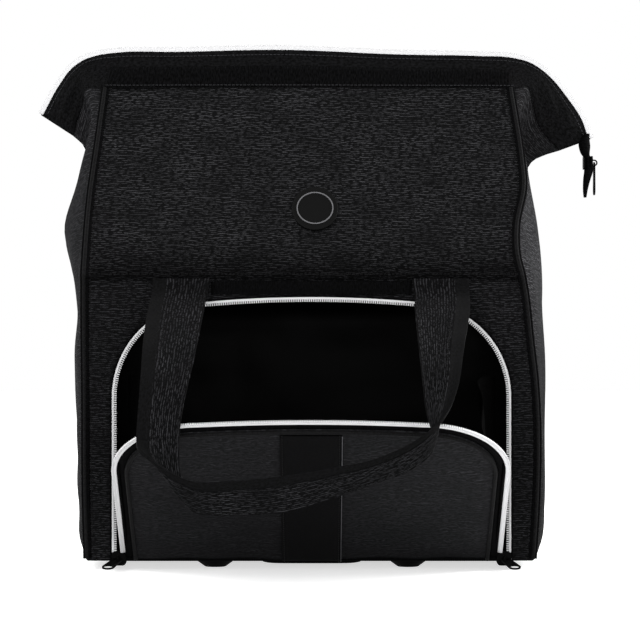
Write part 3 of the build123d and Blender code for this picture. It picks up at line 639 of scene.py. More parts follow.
def leaningPanel(name, faceY, lowZ, finish, seed, nodeName, out):
    # rows of height from the hem (or the base) up to the mouth seam, columns between the corner seams
    hasHem = lowZ > 100
    z = np.concatenate([np.linspace(lowZ, bag["leanZ"], 6 if hasHem else 26)[:-1],
                        np.linspace(bag["leanZ"], bag["seamZ"], 30)])[:, None]
    t = np.linspace(0, 1, 61)[None, :]
    x = (cornerX(-1, z) + leaning["seamIn"]) * (1 - t) + (cornerX(1, z) - leaning["seamIn"]) * t
    edge = np.minimum(1, np.minimum(t, 1 - t) * 14) * np.minimum(1, (bag["seamZ"] - z) / 20)
    wave = softWaves(x, z * 1.3, 150, seed) + 0.5 * softWaves(x, z, 60, seed + 1)
    y = faceY(z) + out * edge * (wave * leaning["wave"] - leaning["settle"])
    if hasHem:
        y = y + out * leaning["rollOut"] * np.exp(-((z - leaning["rollZ"]) / leaning["rollWide"]) ** 2) * edge
    grid = np.stack([x, y + 0 * x, z + 0 * x], -1)
    uv = np.stack([x, z * leaning["slope"] + 0 * x], -1)
    piece = gridPiece(name, grid, uv, [finish], outward=(0, out, 0.4), thick=leaning["thick"])
    mouthBlend(piece)
    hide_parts(nodeName)


sidePanel = {
    "middleY": 1.6,         # the two halves of a side meet this far from the centre plane
    "seamIn": 1.5,
    "seamLift": 0.6,        # the top edge tucks this far under the wing's seam
    "seamPoints": {-1: 6, 1: 8},
    "roundness": 2.6,
    "pullFrom": 0.74,       # share of the height where the cloth starts to follow the wing
    "ripple": 1.8,
    "thick": 2.0,
}


def sideHalf(side, out):
    # half of a side panel: columns run from a corner seam (u 0) to the panel's middle line (u 1); its
    # top edge follows the band and the wing's lower seam
    zs, xs = middleLine[side]
    v = np.linspace(0, 1, 70)[:, None]
    u = np.linspace(0, 1, 25)[None, :]
    half = out * sidePanel["middleY"]
    middle = curveThrough(np.stack([xs, np.full(len(xs), half), zs], 1), 70)
    edgeZ = bag["floorZ"] + v * (bag["seamZ"] - bag["floorZ"])
    edgeY = np.maximum(frontY(edgeZ) + sidePanel["seamIn"], -backFace) if out < 0 else rearY(edgeZ)
    edgeX = cornerX(side, edgeZ)
    bulge = 1 - (1 - u) ** sidePanel["roundness"]
    x = edgeX * (1 - bulge) + middle[:, None, 0] * bulge
    y = edgeY * (1 - u) + half * u * v
    z = edgeZ * (1 - u) + middle[:, None, 2] * u
    seam = mouthLine["seam"] if side < 0 else mouthLine["seam"][::-1]
    seam = np.array(seam, float)[:sidePanel["seamPoints"][side]]
    lift = sidePanel["seamLift"]
    seam = np.stack([seam[:, 0], out * (seam[:, 2] - lift), seam[:, 1] + lift], 1)[::-1]
    seam[0] = [edgeX[-1, 0], edgeY[-1, 0], bag["seamZ"]]
    topLine = curveThrough(seam, 200)
    top = evenly(topLine, runOf(topLine)[-1] / 24)[:25]
    top[-1] = middle[-1]
    pull = ease((v - sidePanel["pullFrom"]) / (1 - sidePanel["pullFrom"]))
    x = x + pull * (top[None, :, 0] - x[-1:])
    y = y + pull * (top[None, :, 1] - y[-1:])
    z = z + pull * (top[None, :, 2] - z[-1:])
    ripple = softWaves(z * 0.8, y * 1.2, 90, 11 + side) * np.minimum(u * 5, 1) * np.minimum(v * 8, 1)
    x = x + side * ripple * sidePanel["ripple"] * (1 - u ** 6) * (1 - v ** 10)
    grid = np.stack([x, y, z], -1)
    run = np.cumsum(np.linalg.norm(np.diff(grid, axis=1, prepend=grid[:, :1]), axis=2), axis=1)
    uv = np.stack([out * run, edgeZ + 0 * x], -1)
    name = f"{sideNames[side]}{'Front' if out < 0 else 'Rear'}SideCloth"
    piece = gridPiece(name, grid, uv, [rightPaintedLightCloth if side > 0 else leftPaintedLightCloth], outward=(side, 0, 0),
                      thick=sidePanel["thick"])
    mouthBlend(piece)
    if out < 0:
        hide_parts(f"{sideNames[side]}_side_panel")


stitch = {"pitch": 3.4, "length": 2.3, "size": 0.55}


def stitches(name, path, side, thread=None):
    # a row of short threads along a path, one for each pitch
    run = evenly(path, stitch["pitch"])
    along = unit(np.gradient(run, axis=0))
    side = np.broadcast_to(np.asarray(side, float), run.shape)
    size = (stitch["length"], stitch["size"], stitch["size"])
    return blockRow(name, run, along, side, size, thread or threadBlack)


piping = {
    "radius": 1.9,
    "uprightTo": 248,       # the front corner stands straight below this, at the lower panel's face
    "uprightY": -106.0,
    # the dark tape beneath is painted shade: it stands for the shade in the groove beside the cord
    "grooveShade": (7.2, 1.6, 0.6),         # width, thickness and edge of the dark tape beneath
    "stitchIn": 5.4,
}


def cornerPiping(side, out):
    # cloth-covered cord up a corner seam, on a dark strip of painted shade for its groove, from the base to the
    # mouth band
    z = np.concatenate([np.linspace(10, 246, 40), np.linspace(252, bag["seamZ"], 34)])
    x = cornerX(side, z) + side * 0.4
    if out < 0:
        y = np.where(z < piping["uprightTo"], piping["uprightY"], frontY(z) - 0.2)
    else:
        y = rearY(z) + 0.8
    path = np.stack([x, y, z], 1)
    label = f"{sideNames[side]}{'Front' if out < 0 else 'Rear'}Piping"
    piece = carry(label, path, (1, 0, 0), roundBar(piping["radius"]), [cordCloth])
    grooveShade = carry(f"{label}Groove", path - np.array([side * 0.3, 0, 0]), (1, 0, 0),
                   roundStrip(*piping["grooveShade"]), [tapeCloth])
    mouthBlend(piece)
    mouthBlend(grooveShade)
    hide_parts(f"{'front' if out < 0 else 'rear'}_{sideNames[side]}_piping")
    seam = np.stack([x - side * piping["stitchIn"], y - out * 0.2, z], 1)
    mouthBlend(stitches(f"{label}Stitch", seam, (1, 0, 0)))


base = {
    "halfX": 192.5,
    "halfY": 103,
    "middleY": 1.5,
    "rimUp": 4.5,           # the rim turns up by this
    "sag": 0.3,
    "thick": 2.0,
    "patchX": 45,           # half sizes of the reinforcement patch under the middle
    "patchY": 91,
    # share of the patch's size at each height, from the cloth down to its flat face
    "patchLevels": [(1.0, 8.2), (1.0, 6.0), (0.985, 4.6), (0.95, 4.1), (0.6, 4.0), (0.02, 4.0)],
}


def rootPower(a, power):
    # the size of a to a power, with a's sign kept
    return np.sign(a) * np.abs(a) ** power


def bottomCloth():
    # base sheet with turned-up rim, a little wavy between the feet; patch and binding on it
    u = np.linspace(-1, 1, 33)[None, :]
    v = np.linspace(-1, 1, 25)[:, None]
    x = rootPower(u, 0.6) * base["halfX"] + 0 * v
    y = base["middleY"] + rootPower(v, 0.6) * base["halfY"] + 0 * u
    rim = np.maximum(np.abs(u) ** 14, np.abs(v) ** 14)
    z = bag["floorZ"] + rim * base["rimUp"] + base["sag"] * softWaves(x, y, 120, 5) * (1 - rim)
    grid = np.stack([x, y, z], -1)
    piece = gridPiece("baseCloth", grid, np.stack([x, y], -1), [lowerCloth], outward=(0, 0, -1),
                      thick=base["thick"])
    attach(piece, "root")
    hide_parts("base_panel")
    a = np.linspace(0, 2 * math.pi, 49)[:-1]
    ring = np.stack([base["patchX"] * rootPower(np.cos(a), 0.3), base["patchY"] * rootPower(np.sin(a), 0.3)], 1)
    patch = np.stack([np.concatenate([ring * k, np.full((48, 1), h)], 1) for k, h in base["patchLevels"]])
    uv = np.concatenate([patch[..., :2], patch[:, :1, :2]], 1)
    patchPiece = gridPiece("basePatch", patch, uv, [tapeCloth], around=True, capped=True)
    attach(patchPiece, "root")
    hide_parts("base_patch")
    lip = np.stack([np.linspace(-171, 171, 60), np.full(60, -104.6), np.full(60, 10.2)], 1)
    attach(carry("doorHingeBinding", lip, (0, 1, 0), roundBar(2.6), [tapeCloth]), "root")


innerSkin = {
    "frontWall": 72.0,      # behind the pocket
    "rearWall": 101.0,
    "wallIn": 5,            # inside the leaning cloth
    "cornerIn": 4.5,
    "cornerFrom": 0.72,     # share of the half width where the wall turns to the side
    "thick": 0.8,
}


def mouthLining(out):
    # inner skin of one half of the bag, a few millimetres inside the outer cloth, open at the top
    t = np.linspace(0, 1, 41)[None, :]
    z = np.concatenate([[15.0], np.linspace(16, 256, 14), np.linspace(262, 419, 22)])[:, None]
    upright = innerSkin["frontWall"] if out < 0 else innerSkin["rearWall"]
    wall = -frontY(z) if out < 0 else rearY(z)
    wall = np.where(z < bag["leanZ"], upright, wall - innerSkin["wallIn"])
    if out < 0:
        wall = np.minimum(wall, upright + np.maximum(0, z - bag["hemZ"]) * 2)
    halfX = np.minimum(-cornerX(-1, z), cornerX(1, z)) - innerSkin["cornerIn"]
    bend, turnAt = np.abs(2 * t - 1), innerSkin["cornerFrom"]
    x = np.sign(t - 0.5) * halfX * np.minimum(1, bend / turnAt) ** 0.9
    y = out * wall * (1 - np.clip((bend - turnAt) / (1 - turnAt), 0, 1))
    x, y = x + 0 * z, y + 0 * z
    grid = np.stack([x, y, z + 0 * x], -1)
    run = runOf(grid[5])
    uv = np.stack([run[None, :] + 0 * z, z + 0 * x], -1)
    piece = gridPiece(f"{'front' if out < 0 else 'rear'}LiningCloth", grid, uv, [liningCloth],
                      outward=(0, -out, 0), thick=innerSkin["thick"])
    mouthBlend(piece)
    if out < 0:
        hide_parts("main_lining")


def layFloorLining():
    # flat sheet over the base board
    floorLining = np.stack(np.meshgrid(np.linspace(-188, 176, 12), np.linspace(-72, 101, 8)), -1)
    floorLining = np.concatenate([floorLining, np.full((8, 12, 1), 15.4)], -1)
    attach(gridPiece("floorLiningCloth", floorLining, floorLining[..., :2], [liningCloth],
                      outward=(0, 0, 1), thick=0.8), "root")


lowerFront()
leaningPanel("upperFrontCloth", frontY, bag["hemZ"], upperPaintedLightCloth, 21, "upper_front_panel", -1)
leaningPanel("backCloth", rearY, bag["floorZ"], lowerCloth, 31, "back_panel", 1)
for side in (-1, 1):
    for out, mouth, _ in halves:
        sideHalf(side, out)
        cornerPiping(side, out)
bottomCloth()
for out, mouth, _ in halves:
    mouthLining(out)
layFloorLining()
print("body cloth done")

band = {
    "zipDrop": 3.2,         # the cloth ends this far under the zip line
    "zipOut": 1.9,
    "wingSwell": 4.0,
    "wingWave": 1.6,
    # creases along each wing: share of the depth, width and height
    "creases": ((0.24, 0.035, 1.0), (0.45, 0.06, 1.5), (0.68, 0.05, -1.1), (0.86, 0.05, 1.3)),
    "depth": 34,            # cloth from the zip to the seam
    "thick": 1.4,
    "tapeDepth": 17,        # ribbed tape that holds the wire
    "tapeThick": 0.8,
}
coilZip = {
    "pitch": 1.9,
    "mouthEdge": (4.2, 1.9, 0.6),      # width, thickness and rounding of the woven edge
    "mouthTurn": (1.1, 1.9, 2.0),      # one coil turn: along, side, up
    "pocketEdge": (2.2, 2.2, 0.7),
    "pocketTurn": (1.15, 2.3, 2.0),
}


def mouthHalf(out, name):
    # ruled cloth between the zip line and the lower seam: a half sine of belly across it, and creases
    zipPoints = np.array([(x, z - band["zipDrop"]) for x, z in mouthLine["zip"]], float)
    seamPoints = np.array(mouthLine["seam"], float)
    knots = runOf(zipPoints)
    whole = knots[-1]
    where = np.linspace(0, whole, 260)
    top = hermite(zipPoints, knots, where)
    low = hermite(seamPoints, knots, where)
    t = np.linspace(0, 1, 33)[None, :]
    x = top[:, None, 0] * (1 - t) + low[:, None, 0] * t
    z = top[:, None, 1] * (1 - t) + low[:, None, 1] * t
    y = band["zipOut"] * (1 - t) + low[:, None, 2] * t
    wing = 1 - ease(low[:, None, 2] / 20)
    puff = np.sin(math.pi * t)
    endPinch = np.minimum(1, np.minimum(where, whole - where) / 18)[:, None]
    y = y + puff * endPinch * (1.0 + wing * (band["wingSwell"] + band["wingWave"] * softWaves(x, z, 40, 41)))
    y = y + 0.9 * puff * (1 - wing) * softWaves(x, z, 46, 42)
    for at, wide, high in band["creases"]:
        drift = at + 0.05 * softWaves(x + 90 * at, z, 80, 43)
        y = y + wing * endPinch * high * np.exp(-((t - drift) / wide) ** 2)
    grid = np.stack([x, out * y, z], -1)
    along = where[:, None] + 0 * t
    uv = np.stack([along, t * band["depth"] + 0 * along], -1)
    piece = gridPiece(f"{name}MouthCloth", grid, uv, [bandCloth], outward=(0, out, 0.2), thick=band["thick"])
    mouthBlend(piece)
    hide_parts(f"{name}_mouth_band", f"{name}_left_wing", f"{name}_right_wing")

    def onBand(share, lift, first, last, count):
        # a line on the band at one share of its depth, raised off the cloth by the lift
        row = share * 32
        k = int(row)
        line = grid[:, k] * (1 - row + k) + grid[:, min(k + 1, 32)] * (row - k)
        line = line + np.array([0, out * lift, lift * 0.3])
        return hermite(line, where, np.linspace(first, last, count))

    highRow, lowRow = onBand(0.15, 0.5, 6, whole - 6, 240), onBand(0.93, 0.7, 95, whole - 105, 200)
    mouthBlend(stitches(f"{name}BandStitch", highRow, (0, 0, 1), threadGrey))
    mouthBlend(stitches(f"{name}BandLowStitch", lowRow, (0, 0, 1), threadGrey))
    # ribbed tape that holds the wire, between the corner seams
    first, last = knots[5] - 2, knots[10] + 2
    rows = np.stack([onBand(k, 1.1, first, last, 120) for k in np.linspace(0.44, 0.99, 7)], 1)
    rows[:, [0, -1], 1] -= out * 0.7
    uvTape = np.stack(np.meshgrid(np.linspace(0, band["tapeDepth"], 7), np.linspace(first, last, 120)), -1)
    tape = gridPiece(f"{name}WireTape", rows, uvTape, [bandTape], outward=(0, out, 0),
                     thick=band["tapeThick"])
    mouthBlend(tape)

    # zip half along the ridge: a flat woven edge with coil turns showing on the top edge
    zipPath = hermite(np.array(mouthLine["zip"], float), knots, np.linspace(0, whole, 230))
    path = np.stack([zipPath[:, 0], np.full(230, out * 1.5), zipPath[:, 1] - 2.1], 1)
    down = inwardOf(zipPath)
    body = carry(f"{name}ZipEdge", path, down, roundStrip(*coilZip["mouthEdge"]), [coilWhite])
    mouthBlend(body)
    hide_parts(f"{name}_mouth_zip")
    turns = evenly(path - down * 1.9, coilZip["pitch"])
    along = unit(np.gradient(turns, axis=0))
    downAt = np.stack([along[:, 2], np.zeros(len(turns)), -along[:, 0]], 1)
    mouthBlend(blockRow(f"{name}ZipCoil", turns, along, downAt, coilZip["mouthTurn"], coilWhite, 0.8))


for out, mouth, name in halves:
    mouthHalf(out, name)
print("mouth done")


def zipHalf(name, inset, lowZ, inward, turnOpen, body, nodeName):
    # one half of a coil zip round the arch: white woven edge, and coil turns on the inner side
    y = -104.6
    path2 = archPath(inset, lowZ, 3.0)
    path = onPlane(path2, y)
    side = inwardOf(path2) * inward
    turns2 = evenly(path2, coilZip["pitch"])
    turnSide = inwardOf(turns2) * inward
    turns = onPlane(turns2, y) + turnSide * 1.1
    edge = path - side * 0.9
    if turnOpen:
        end = openDoor(path + side)
        edge, turnEnd = openDoor(edge), openDoor(turns + turnSide)
        side = end - openDoor(path)
        turns, turnSide = openDoor(turns), turnEnd - openDoor(turns)
    strip = carry(f"{name}Edge", edge, side, roundStrip(*coilZip["pocketEdge"]), [coilWhite])
    along = unit(np.gradient(turns, axis=0))
    coil = blockRow(f"{name}Coil", turns, along, turnSide, coilZip["pocketTurn"], coilWhite, 0.8)
    for piece in (strip, coil):
        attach(piece, body)
    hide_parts(nodeName)


zipHalf("openingZip", 2.2, 15, 1, False, "root", "opening_zip")
zipHalf("doorZip", 10.7, 21, -1, True, "pocket_door", "door_zip")
# ends of the door's zip run on behind the sliders as folded tape
tapePath = archPath(-0.4, 12)
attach(carry("openingTape", onPlane(tapePath, -105.4), (0, 1, 0), roundStrip(1.2, 1.0, 0.3), [tapeCloth]),
        "root")


def archBand(name, insetOut, insetIn, lowZ, y, finish, rows, rise, hint):
    # flat band between two arches of different size, matched by their share of the run, on the open door
    count = 220
    at = np.linspace(0, 1, count)
    edges = []
    for inset in (insetOut, insetIn):
        arch = archPath(inset, lowZ)
        edges.append(np.stack([np.interp(at, runOf(arch) / runOf(arch)[-1], arch[:, k]) for k in (0, 1)], 1))
    outer, inner = edges
    t = np.linspace(0, 1, rows)[None, :, None]
    flat = outer[:, None] * (1 - t) + inner[:, None] * t
    lift = y - rise * np.sin(math.pi * t[..., 0]) + 0 * flat[..., 0]
    grid = np.stack([flat[..., 0], lift, flat[..., 1]], -1)
    uv = np.stack(np.meshgrid(np.linspace(0, insetIn - insetOut, rows), runOf(outer)), -1)
    return gridPiece(name, openDoor(grid), uv, [finish], outward=hint, thick=0.8)


def archSheet(inset, lowZ, y, belly, seed, columns=61, rows=33):
    # height columns under an arch: each column runs from lowZ to the arch above it
    w = pocket["halfWidth"] - inset
    r = pocket["topZ"] - pocket["sideZ"] - inset
    turn = np.linspace(-math.pi / 2, math.pi / 2, columns)
    x = (w * np.sin(turn))[None, :]
    flat = w - r
    over = np.clip(np.abs(x) - flat, 0, r)
    top = pocket["sideZ"] + np.sqrt(np.maximum(r * r - over ** 2, 0))
    crown = pocket["topZ"] - inset + pocket["crown"] * (1 - (x / flat) ** 2)
    top = np.where(np.abs(x) < flat, crown, top)
    t = np.linspace(0, 1, rows)[:, None]
    z = lowZ + (top - lowZ) * t
    inEdge = np.minimum(1, (1 - np.abs(x) / w) * 9) * np.minimum(1, (1 - t) * 10)
    swell = belly * np.sin(math.pi * np.clip(t, 0, 1)) ** 0.7
    yy = y - inEdge * (swell + 0.9 * softWaves(x + 0 * z, z, 90, seed))
    return np.stack([x + 0 * z, yy, z], -1), np.stack([x + 0 * z, z], -1)


webbing = {
    "halfWidth": 25,        # stock 50 mm webbing
    "lowZ": 11.5,
    "highZ": 210,
    "lift": 2.4,            # its face above the door's cloth
    "thick": 1.3,
    "stitchX": 23.2,
}


def doorPieces():
    # zip tape, cloth, lining, piping and webbing, each made shut and then turned open with the door
    hint = openDoor(np.array([0, -106.0, 10])) - openDoor(np.array([0, -105.0, 10]))
    tape = archBand("doorZipTape", 12.4, 20.5, 13, -104.9, tapeCloth, 5, 0.5, hint)
    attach(tape, "pocket_door")
    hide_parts("door_zip_tape")
    grid, uv = archSheet(door["clothInset"], door["lowZ"], door["clothY"], door["belly"], 51)
    panel = gridPiece("doorCloth", openDoor(grid), uv, [doorCloth], outward=hint, thick=1.8)
    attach(panel, "pocket_door")
    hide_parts("door_panel")
    grid, uv = archSheet(door["clothInset"], door["lowZ"], door["liningY"], 0.2, 52)
    back = gridPiece("doorLiningCloth", openDoor(grid), uv, [liningCloth], outward=-hint, thick=0.8)
    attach(back, "pocket_door")
    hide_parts("door_lining")
    pipePath = archPath(door["pipingInset"], 12)
    pipeLine = openDoor(onPlane(pipePath, door["pipingY"]))
    pipeSide = openDoor(onPlane(pipePath, door["pipingY"] + 1)) - pipeLine
    pipe = carry("doorPiping", pipeLine, pipeSide, roundBar(1.8), [cordCloth])
    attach(pipe, "pocket_door")
    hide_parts("door_piping")
    # webbing down the middle, laid on the belly of the cloth
    z = np.linspace(webbing["lowZ"], webbing["highZ"], 60)
    x, zz = np.meshgrid(np.linspace(-webbing["halfWidth"], webbing["halfWidth"], 9), z)
    doorTop = pocket["topZ"] + pocket["crown"] - door["clothInset"]
    t = (zz - door["lowZ"]) / (doorTop - door["lowZ"])
    swell = door["belly"] * np.sin(math.pi * np.clip(t, 0, 1)) ** 0.7 * np.minimum(1, (1 - t) * 10)
    y = door["clothY"] - swell - webbing["lift"]
    web = gridPiece("doorWebbing", openDoor(np.stack([x, y, zz], -1)), np.stack([x, zz], -1), [webbingCloth],
                    outward=hint, thick=webbing["thick"])
    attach(web, "pocket_door")
    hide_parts("door_webbing")
    # a pale cord down the webbing's right edge only, for the lighter line along that edge
    selvedge = np.stack([np.full(60, webbing["halfWidth"] + 0.2), y[:, 0] - 0.3, z], 1)
    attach(carry("webbingSelvedge", openDoor(selvedge), (1, 0, 0), roundBar(0.35, 6),
                  [threadPale]), "pocket_door")
    for edge in (-webbing["stitchX"], webbing["stitchX"]):
        row = np.stack([np.full(60, edge), y[:, 0] - 0.1, z], 1)
        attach(stitches(f"webbingStitch{'Left' if edge < 0 else 'Right'}", openDoor(row), (1, 0, 0)), "pocket_door")


pocketSkin = {
    "halfX": 176,
    "middleZ": 127,
    "halfZ": 113,
    "rimY": -101.5,
    "bigFold": 2.4,
    "smallFold": 0.8,
    "seamZ": 219,
}
bellows = {
    "sideX": 157.5,
    "reach": (22, 158),     # from the hinge out along the door's edge
    "fold": 0.12,           # shares of the reach that the cloth folds inwards
    "smallFold": 0.03,
}


def pocketInside():
    # height field: the pocket's back wall, rounding forward to the opening at every side
    u = np.linspace(-1, 1, 61)[None, :]
    v = np.linspace(-1, 1, 41)[:, None]
    u, v = np.sin(u * math.pi / 2), np.sin(v * math.pi / 2)
    x = u * pocketSkin["halfX"] + 0 * v
    z = pocketSkin["middleZ"] + v * pocketSkin["halfZ"] + 0 * u
    depth = (1 - np.abs(u) ** 10) * (1 - np.abs(v) ** 10)
    fold = (softWaves(x, z * 0.6, 120, 61) * pocketSkin["bigFold"]
            + softWaves(x, z, 55, 62) * pocketSkin["smallFold"]) * depth
    seam = np.exp(-((z - pocketSkin["seamZ"]) / 1.6) ** 2) * 1.4 * depth
    y = pocketSkin["rimY"] + (pocket["backY"] - pocketSkin["rimY"]) * depth + fold + seam
    piece = gridPiece("pocketLiningCloth", np.stack([x, y, z], -1), np.stack([x, z], -1), [liningCloth],
                      outward=(0, -1, 0), thick=0.8)
    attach(piece, "root")
    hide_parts("pocket_lining")


def doorBellows(side):
    # a fan between a side of the opening and the folded door: reach times the sine and cosine of the
    # turn, with one soft fold inwards
    r = np.linspace(*bellows["reach"], 26)[:, None]
    s = np.linspace(0, 1, 21)[None, :]
    turn = math.radians(door["openDeg"]) * s
    foldIn = np.sin(math.pi * s) * (bellows["fold"] * r) + np.sin(3 * math.pi * s) * (bellows["smallFold"] * r)
    x = side * (bellows["sideX"] - foldIn)
    y = -backFace - 0.4 - r * np.sin(turn) + 2.6 * s
    z = door["hingeZ"] + r * np.cos(turn) - 3.0 * s * np.minimum(1, r / 60)
    grid = np.stack([x, y, z], -1)
    fan = gridPiece(f"{sideNames[side]}DoorBellows", grid, sheetUv(grid), [bellowsCloth],
                    outward=(side, 0, 0), thick=0.8)
    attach(fan, "root")
    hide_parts(f"{sideNames[side]}_door_gusset")
    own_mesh(fan)


doorPieces()
pocketInside()
for side in (-1, 1):
    doorBellows(side)

hookStrip = {"halfX": 86, "y": -107.4, "z": 242.6, "section": (11.5, 1.4, 0.4)}
stripLine = np.linspace([-hookStrip["halfX"], hookStrip["y"], hookStrip["z"]],
                        [hookStrip["halfX"], hookStrip["y"], hookStrip["z"]], 60)
hook = carry("hookStrip", stripLine, (0, 0, 1), roundStrip(*hookStrip["section"]), [tapeCloth])
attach(hook, "root")
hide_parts("hook_strip")
hemRow = np.linspace([-186, -110.3, 254.5], [176, -110.3, 254.5], 200)
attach(stitches("hemStitch", hemRow, (0, 0, 1)), "root")
print("pocket done")

# matched points down the dark edge and the patterned edge of the front strap
frontStrap = {
    "dark": [(-136, -112.6, 250), (-136, -117, 241), (-136.5, -151, 228), (-137, -195, 213),
             (-137, -236, 190), (-137, -268, 162), (-138, -284, 138), (-138.5, -291, 120), (-136, -298, 112),
             (-121, -303, 101), (-95, -302, 88), (-61, -300, 88), (-27, -298, 91), (23, -297, 99),
             (48, -297, 104), (77, -295, 116), (94, -290, 127), (104, -284, 134), (110, -279, 142),
             (118, -268, 162), (124, -237, 190), (130, -196, 213), (134, -152, 228), (135, -117, 241),
             (135, -112.6, 250)],
    "woven": [(-87, -112.6, 250), (-89, -117, 241), (-90, -151, 228), (-91, -195, 213), (-94, -236, 190),
              (-99, -268, 162), (-103, -282, 138), (-104.5, -289, 117), (-103, -296, 92), (-94, -301, 66),
              (-78, -302, 61), (-57, -302, 61), (-24, -302, 63), (23, -302, 76), (52, -302, 86),
              (80, -300, 97), (95, -294, 110), (97, -284, 124), (93, -278, 138), (90, -268, 162),
              (88, -237, 190), (87, -196, 213), (87, -152, 228), (88, -117, 241), (87, -112.6, 250)],
    # share of the strap's width that the dark zone covers, at the same points
    "darkShare": [0.25, 0.25, 0.25, 0.26, 0.27, 0.27, 0.27, 0.27, 0.27, 0.27, 0.27, 0.27, 0.27, 0.27,
                  0.27, 0.27, 0.28, 0.3, 0.3, 0.3, 0.28, 0.27, 0.25, 0.23, 0.22],
    "thick": 2.8,
}
rearStrap = {"legX": 105.7, "half": 19.0, "topZ": 246.0, "drop": 185.0, "bend": 60.0, "out": 106.9,
             "thick": 2.4, "darkShare": 0.06}
strapWeave = {
    "split": 5,             # columns of the dark layer, out of 16
    "belly": 1.1,
    "crease": 0.8,
    "wave": 0.8,
    "stitchColumns": (6, 15),
    "stitchSize": (2.3, 0.5, 0.5),
}


def strapSheet(name, dark, woven, share, thick, body, hint, nodeNames, seed):
    # ruled strap between its two edges; a shallow crease parts the dark zone from the woven face
    dark, woven = np.array(dark, float), np.array(woven, float)
    knots = runOf((dark + woven) / 2)
    where = np.linspace(0, knots[-1], 240)
    a, b = hermite(dark, knots, where), hermite(woven, knots, where)
    part = hermite(np.array(share, float), knots, where)[:, None]
    split = strapWeave["split"]
    column = np.arange(17)[None, :]
    cols = np.where(column <= split, part * column / split, part + (1 - part) * (column - split) / (16 - split))
    grid = a[:, None] * (1 - cols[..., None]) + b[:, None] * cols[..., None]
    tangent = unit(np.gradient((a + b) / 2, axis=0))
    normal = unit(np.cross(unit(b - a), tangent))
    belly = np.sin(math.pi * np.clip((cols - part) / (1 - part), 0, 1)) * strapWeave["belly"]
    crease = -np.exp(-((column - split) / 0.7) ** 2) * strapWeave["crease"]
    inner = np.minimum(1, np.minimum(where, knots[-1] - where) / 25)[:, None]
    along = where[:, None] + 0 * cols
    wave = softWaves(along, cols * 40, 60, seed) * strapWeave["wave"]
    grid = grid + normal[:, None] * ((belly + crease + wave) * inner)[..., None]
    width = np.linalg.norm(b - a, axis=1).mean()
    uv = np.stack([along, cols * width], -1)
    zones = np.tile(np.where(np.arange(16) < split, 1, 0), 239)
    piece = gridPiece(name, grid, uv, [strapCloth, darkStrap], outward=hint, zones=zones)
    addWall(piece, thick, 0)
    edge = piece.modifiers.new("softEdge", "BEVEL")
    edge.width = 0.0008
    edge.segments = 2
    edge.limit_method = "ANGLE"
    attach(piece, body)
    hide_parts(*nodeNames)
    # edge stitching on the woven face, both sides of the strap
    across = (b - a)[8:-8]
    off = normal[8:-8] * (thick / 2 + 0.15)
    for k, stitchColumn in enumerate(strapWeave["stitchColumns"]):
        line = grid[8:-8, stitchColumn]
        for facing, sign in (("Outer", 1), ("Inner", -1)):
            run = evenly(line + sign * off, stitch["pitch"])
            nearest = np.linspace(0, len(across) - 1, len(run)).round().astype(int)
            row = blockRow(f"{name}Stitch{k}{facing}", run, unit(np.gradient(run, axis=0)), across[nearest],
                           strapWeave["stitchSize"], threadBlack)
            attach(row, body)


def strapU(inset):
    # one edge of the rear strap: straight legs, quarter circles, and a bottom that sags by 1.5 mm
    w, r = rearStrap["legX"] + rearStrap["half"], rearStrap["bend"] - inset
    x, low = w - inset, rearStrap["topZ"] - rearStrap["drop"] + inset
    a = np.radians(np.linspace(180, 270, 9))
    bendLine = np.stack([-x + r + r * np.cos(a), low + r + r * np.sin(a)], 1)
    leg = np.stack([np.full(6, -x), np.linspace(rearStrap["topZ"], low + r, 7)[:-1]], 1)
    half = np.concatenate([leg, bendLine, [[-x * 0.3, low - 1.0], [0, low - 1.5]]])
    return np.concatenate([half, (half[:-1] * [-1, 1])[::-1]])


strapSheet("frontHandleStrap", frontStrap["dark"], frontStrap["woven"], frontStrap["darkShare"],
           frontStrap["thick"], "front_handle", (0, 0, 0.001), ["front_handle"], 71)
outerU, innerU = strapU(0), strapU(2 * rearStrap["half"])
strapSheet("rearHandleStrap", onPlane(outerU, rearStrap["out"]), onPlane(innerU, rearStrap["out"]),
           np.full(len(outerU), rearStrap["darkShare"]), rearStrap["thick"], "rear_handle", (0, 1, 0),
           ["rear_handle"], 72)

strapRoot = {
    # y and z down the sewn-in end under the hem, and the heights of the patch on the back
    "frontProfile": [(-105.4, 255.5), (-106.6, 252), (-108.5, 250.2), (-110.6, 249.0)],
    "rearZ": (248.4, 256),
    "rearY": 107.0,
    "thick": 1.4,
}


def handleRoots(side):
    # sewn-in strap end under the hem in front, and a box-stitched patch on the back whose upper and
    # lower edges dip by a sixth power
    middle, half = side * rearStrap["legX"], rearStrap["half"]
    x = np.linspace(middle - half, middle + half, 9)
    grid = np.stack([np.stack([x, np.full(9, y), np.full(9, z)], 1) for y, z in strapRoot["frontProfile"]])
    root = gridPiece(f"{sideNames[side]}FrontStrapRoot", grid, sheetUv(grid), [strapCloth],
                     outward=(0, -1, 0.3), thick=strapRoot["thick"])
    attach(root, "root")
    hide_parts(f"front_{sideNames[side]}_handle_root")
    xx, zz = np.meshgrid(x, np.linspace(*strapRoot["rearZ"], 5))
    y = strapRoot["rearY"] - 0.5 * np.abs((zz - 252) / 4) ** 6
    patch = gridPiece(f"{sideNames[side]}RearStrapRoot", np.stack([xx, y, zz], -1), np.stack([xx, zz], -1),
                      [tapeCloth], outward=(0, 1, 0), thick=strapRoot["thick"])
    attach(patch, "root")
    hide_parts(f"rear_{sideNames[side]}_handle_root")


for side in (-1, 1):
    handleRoots(side)
print("handles done")

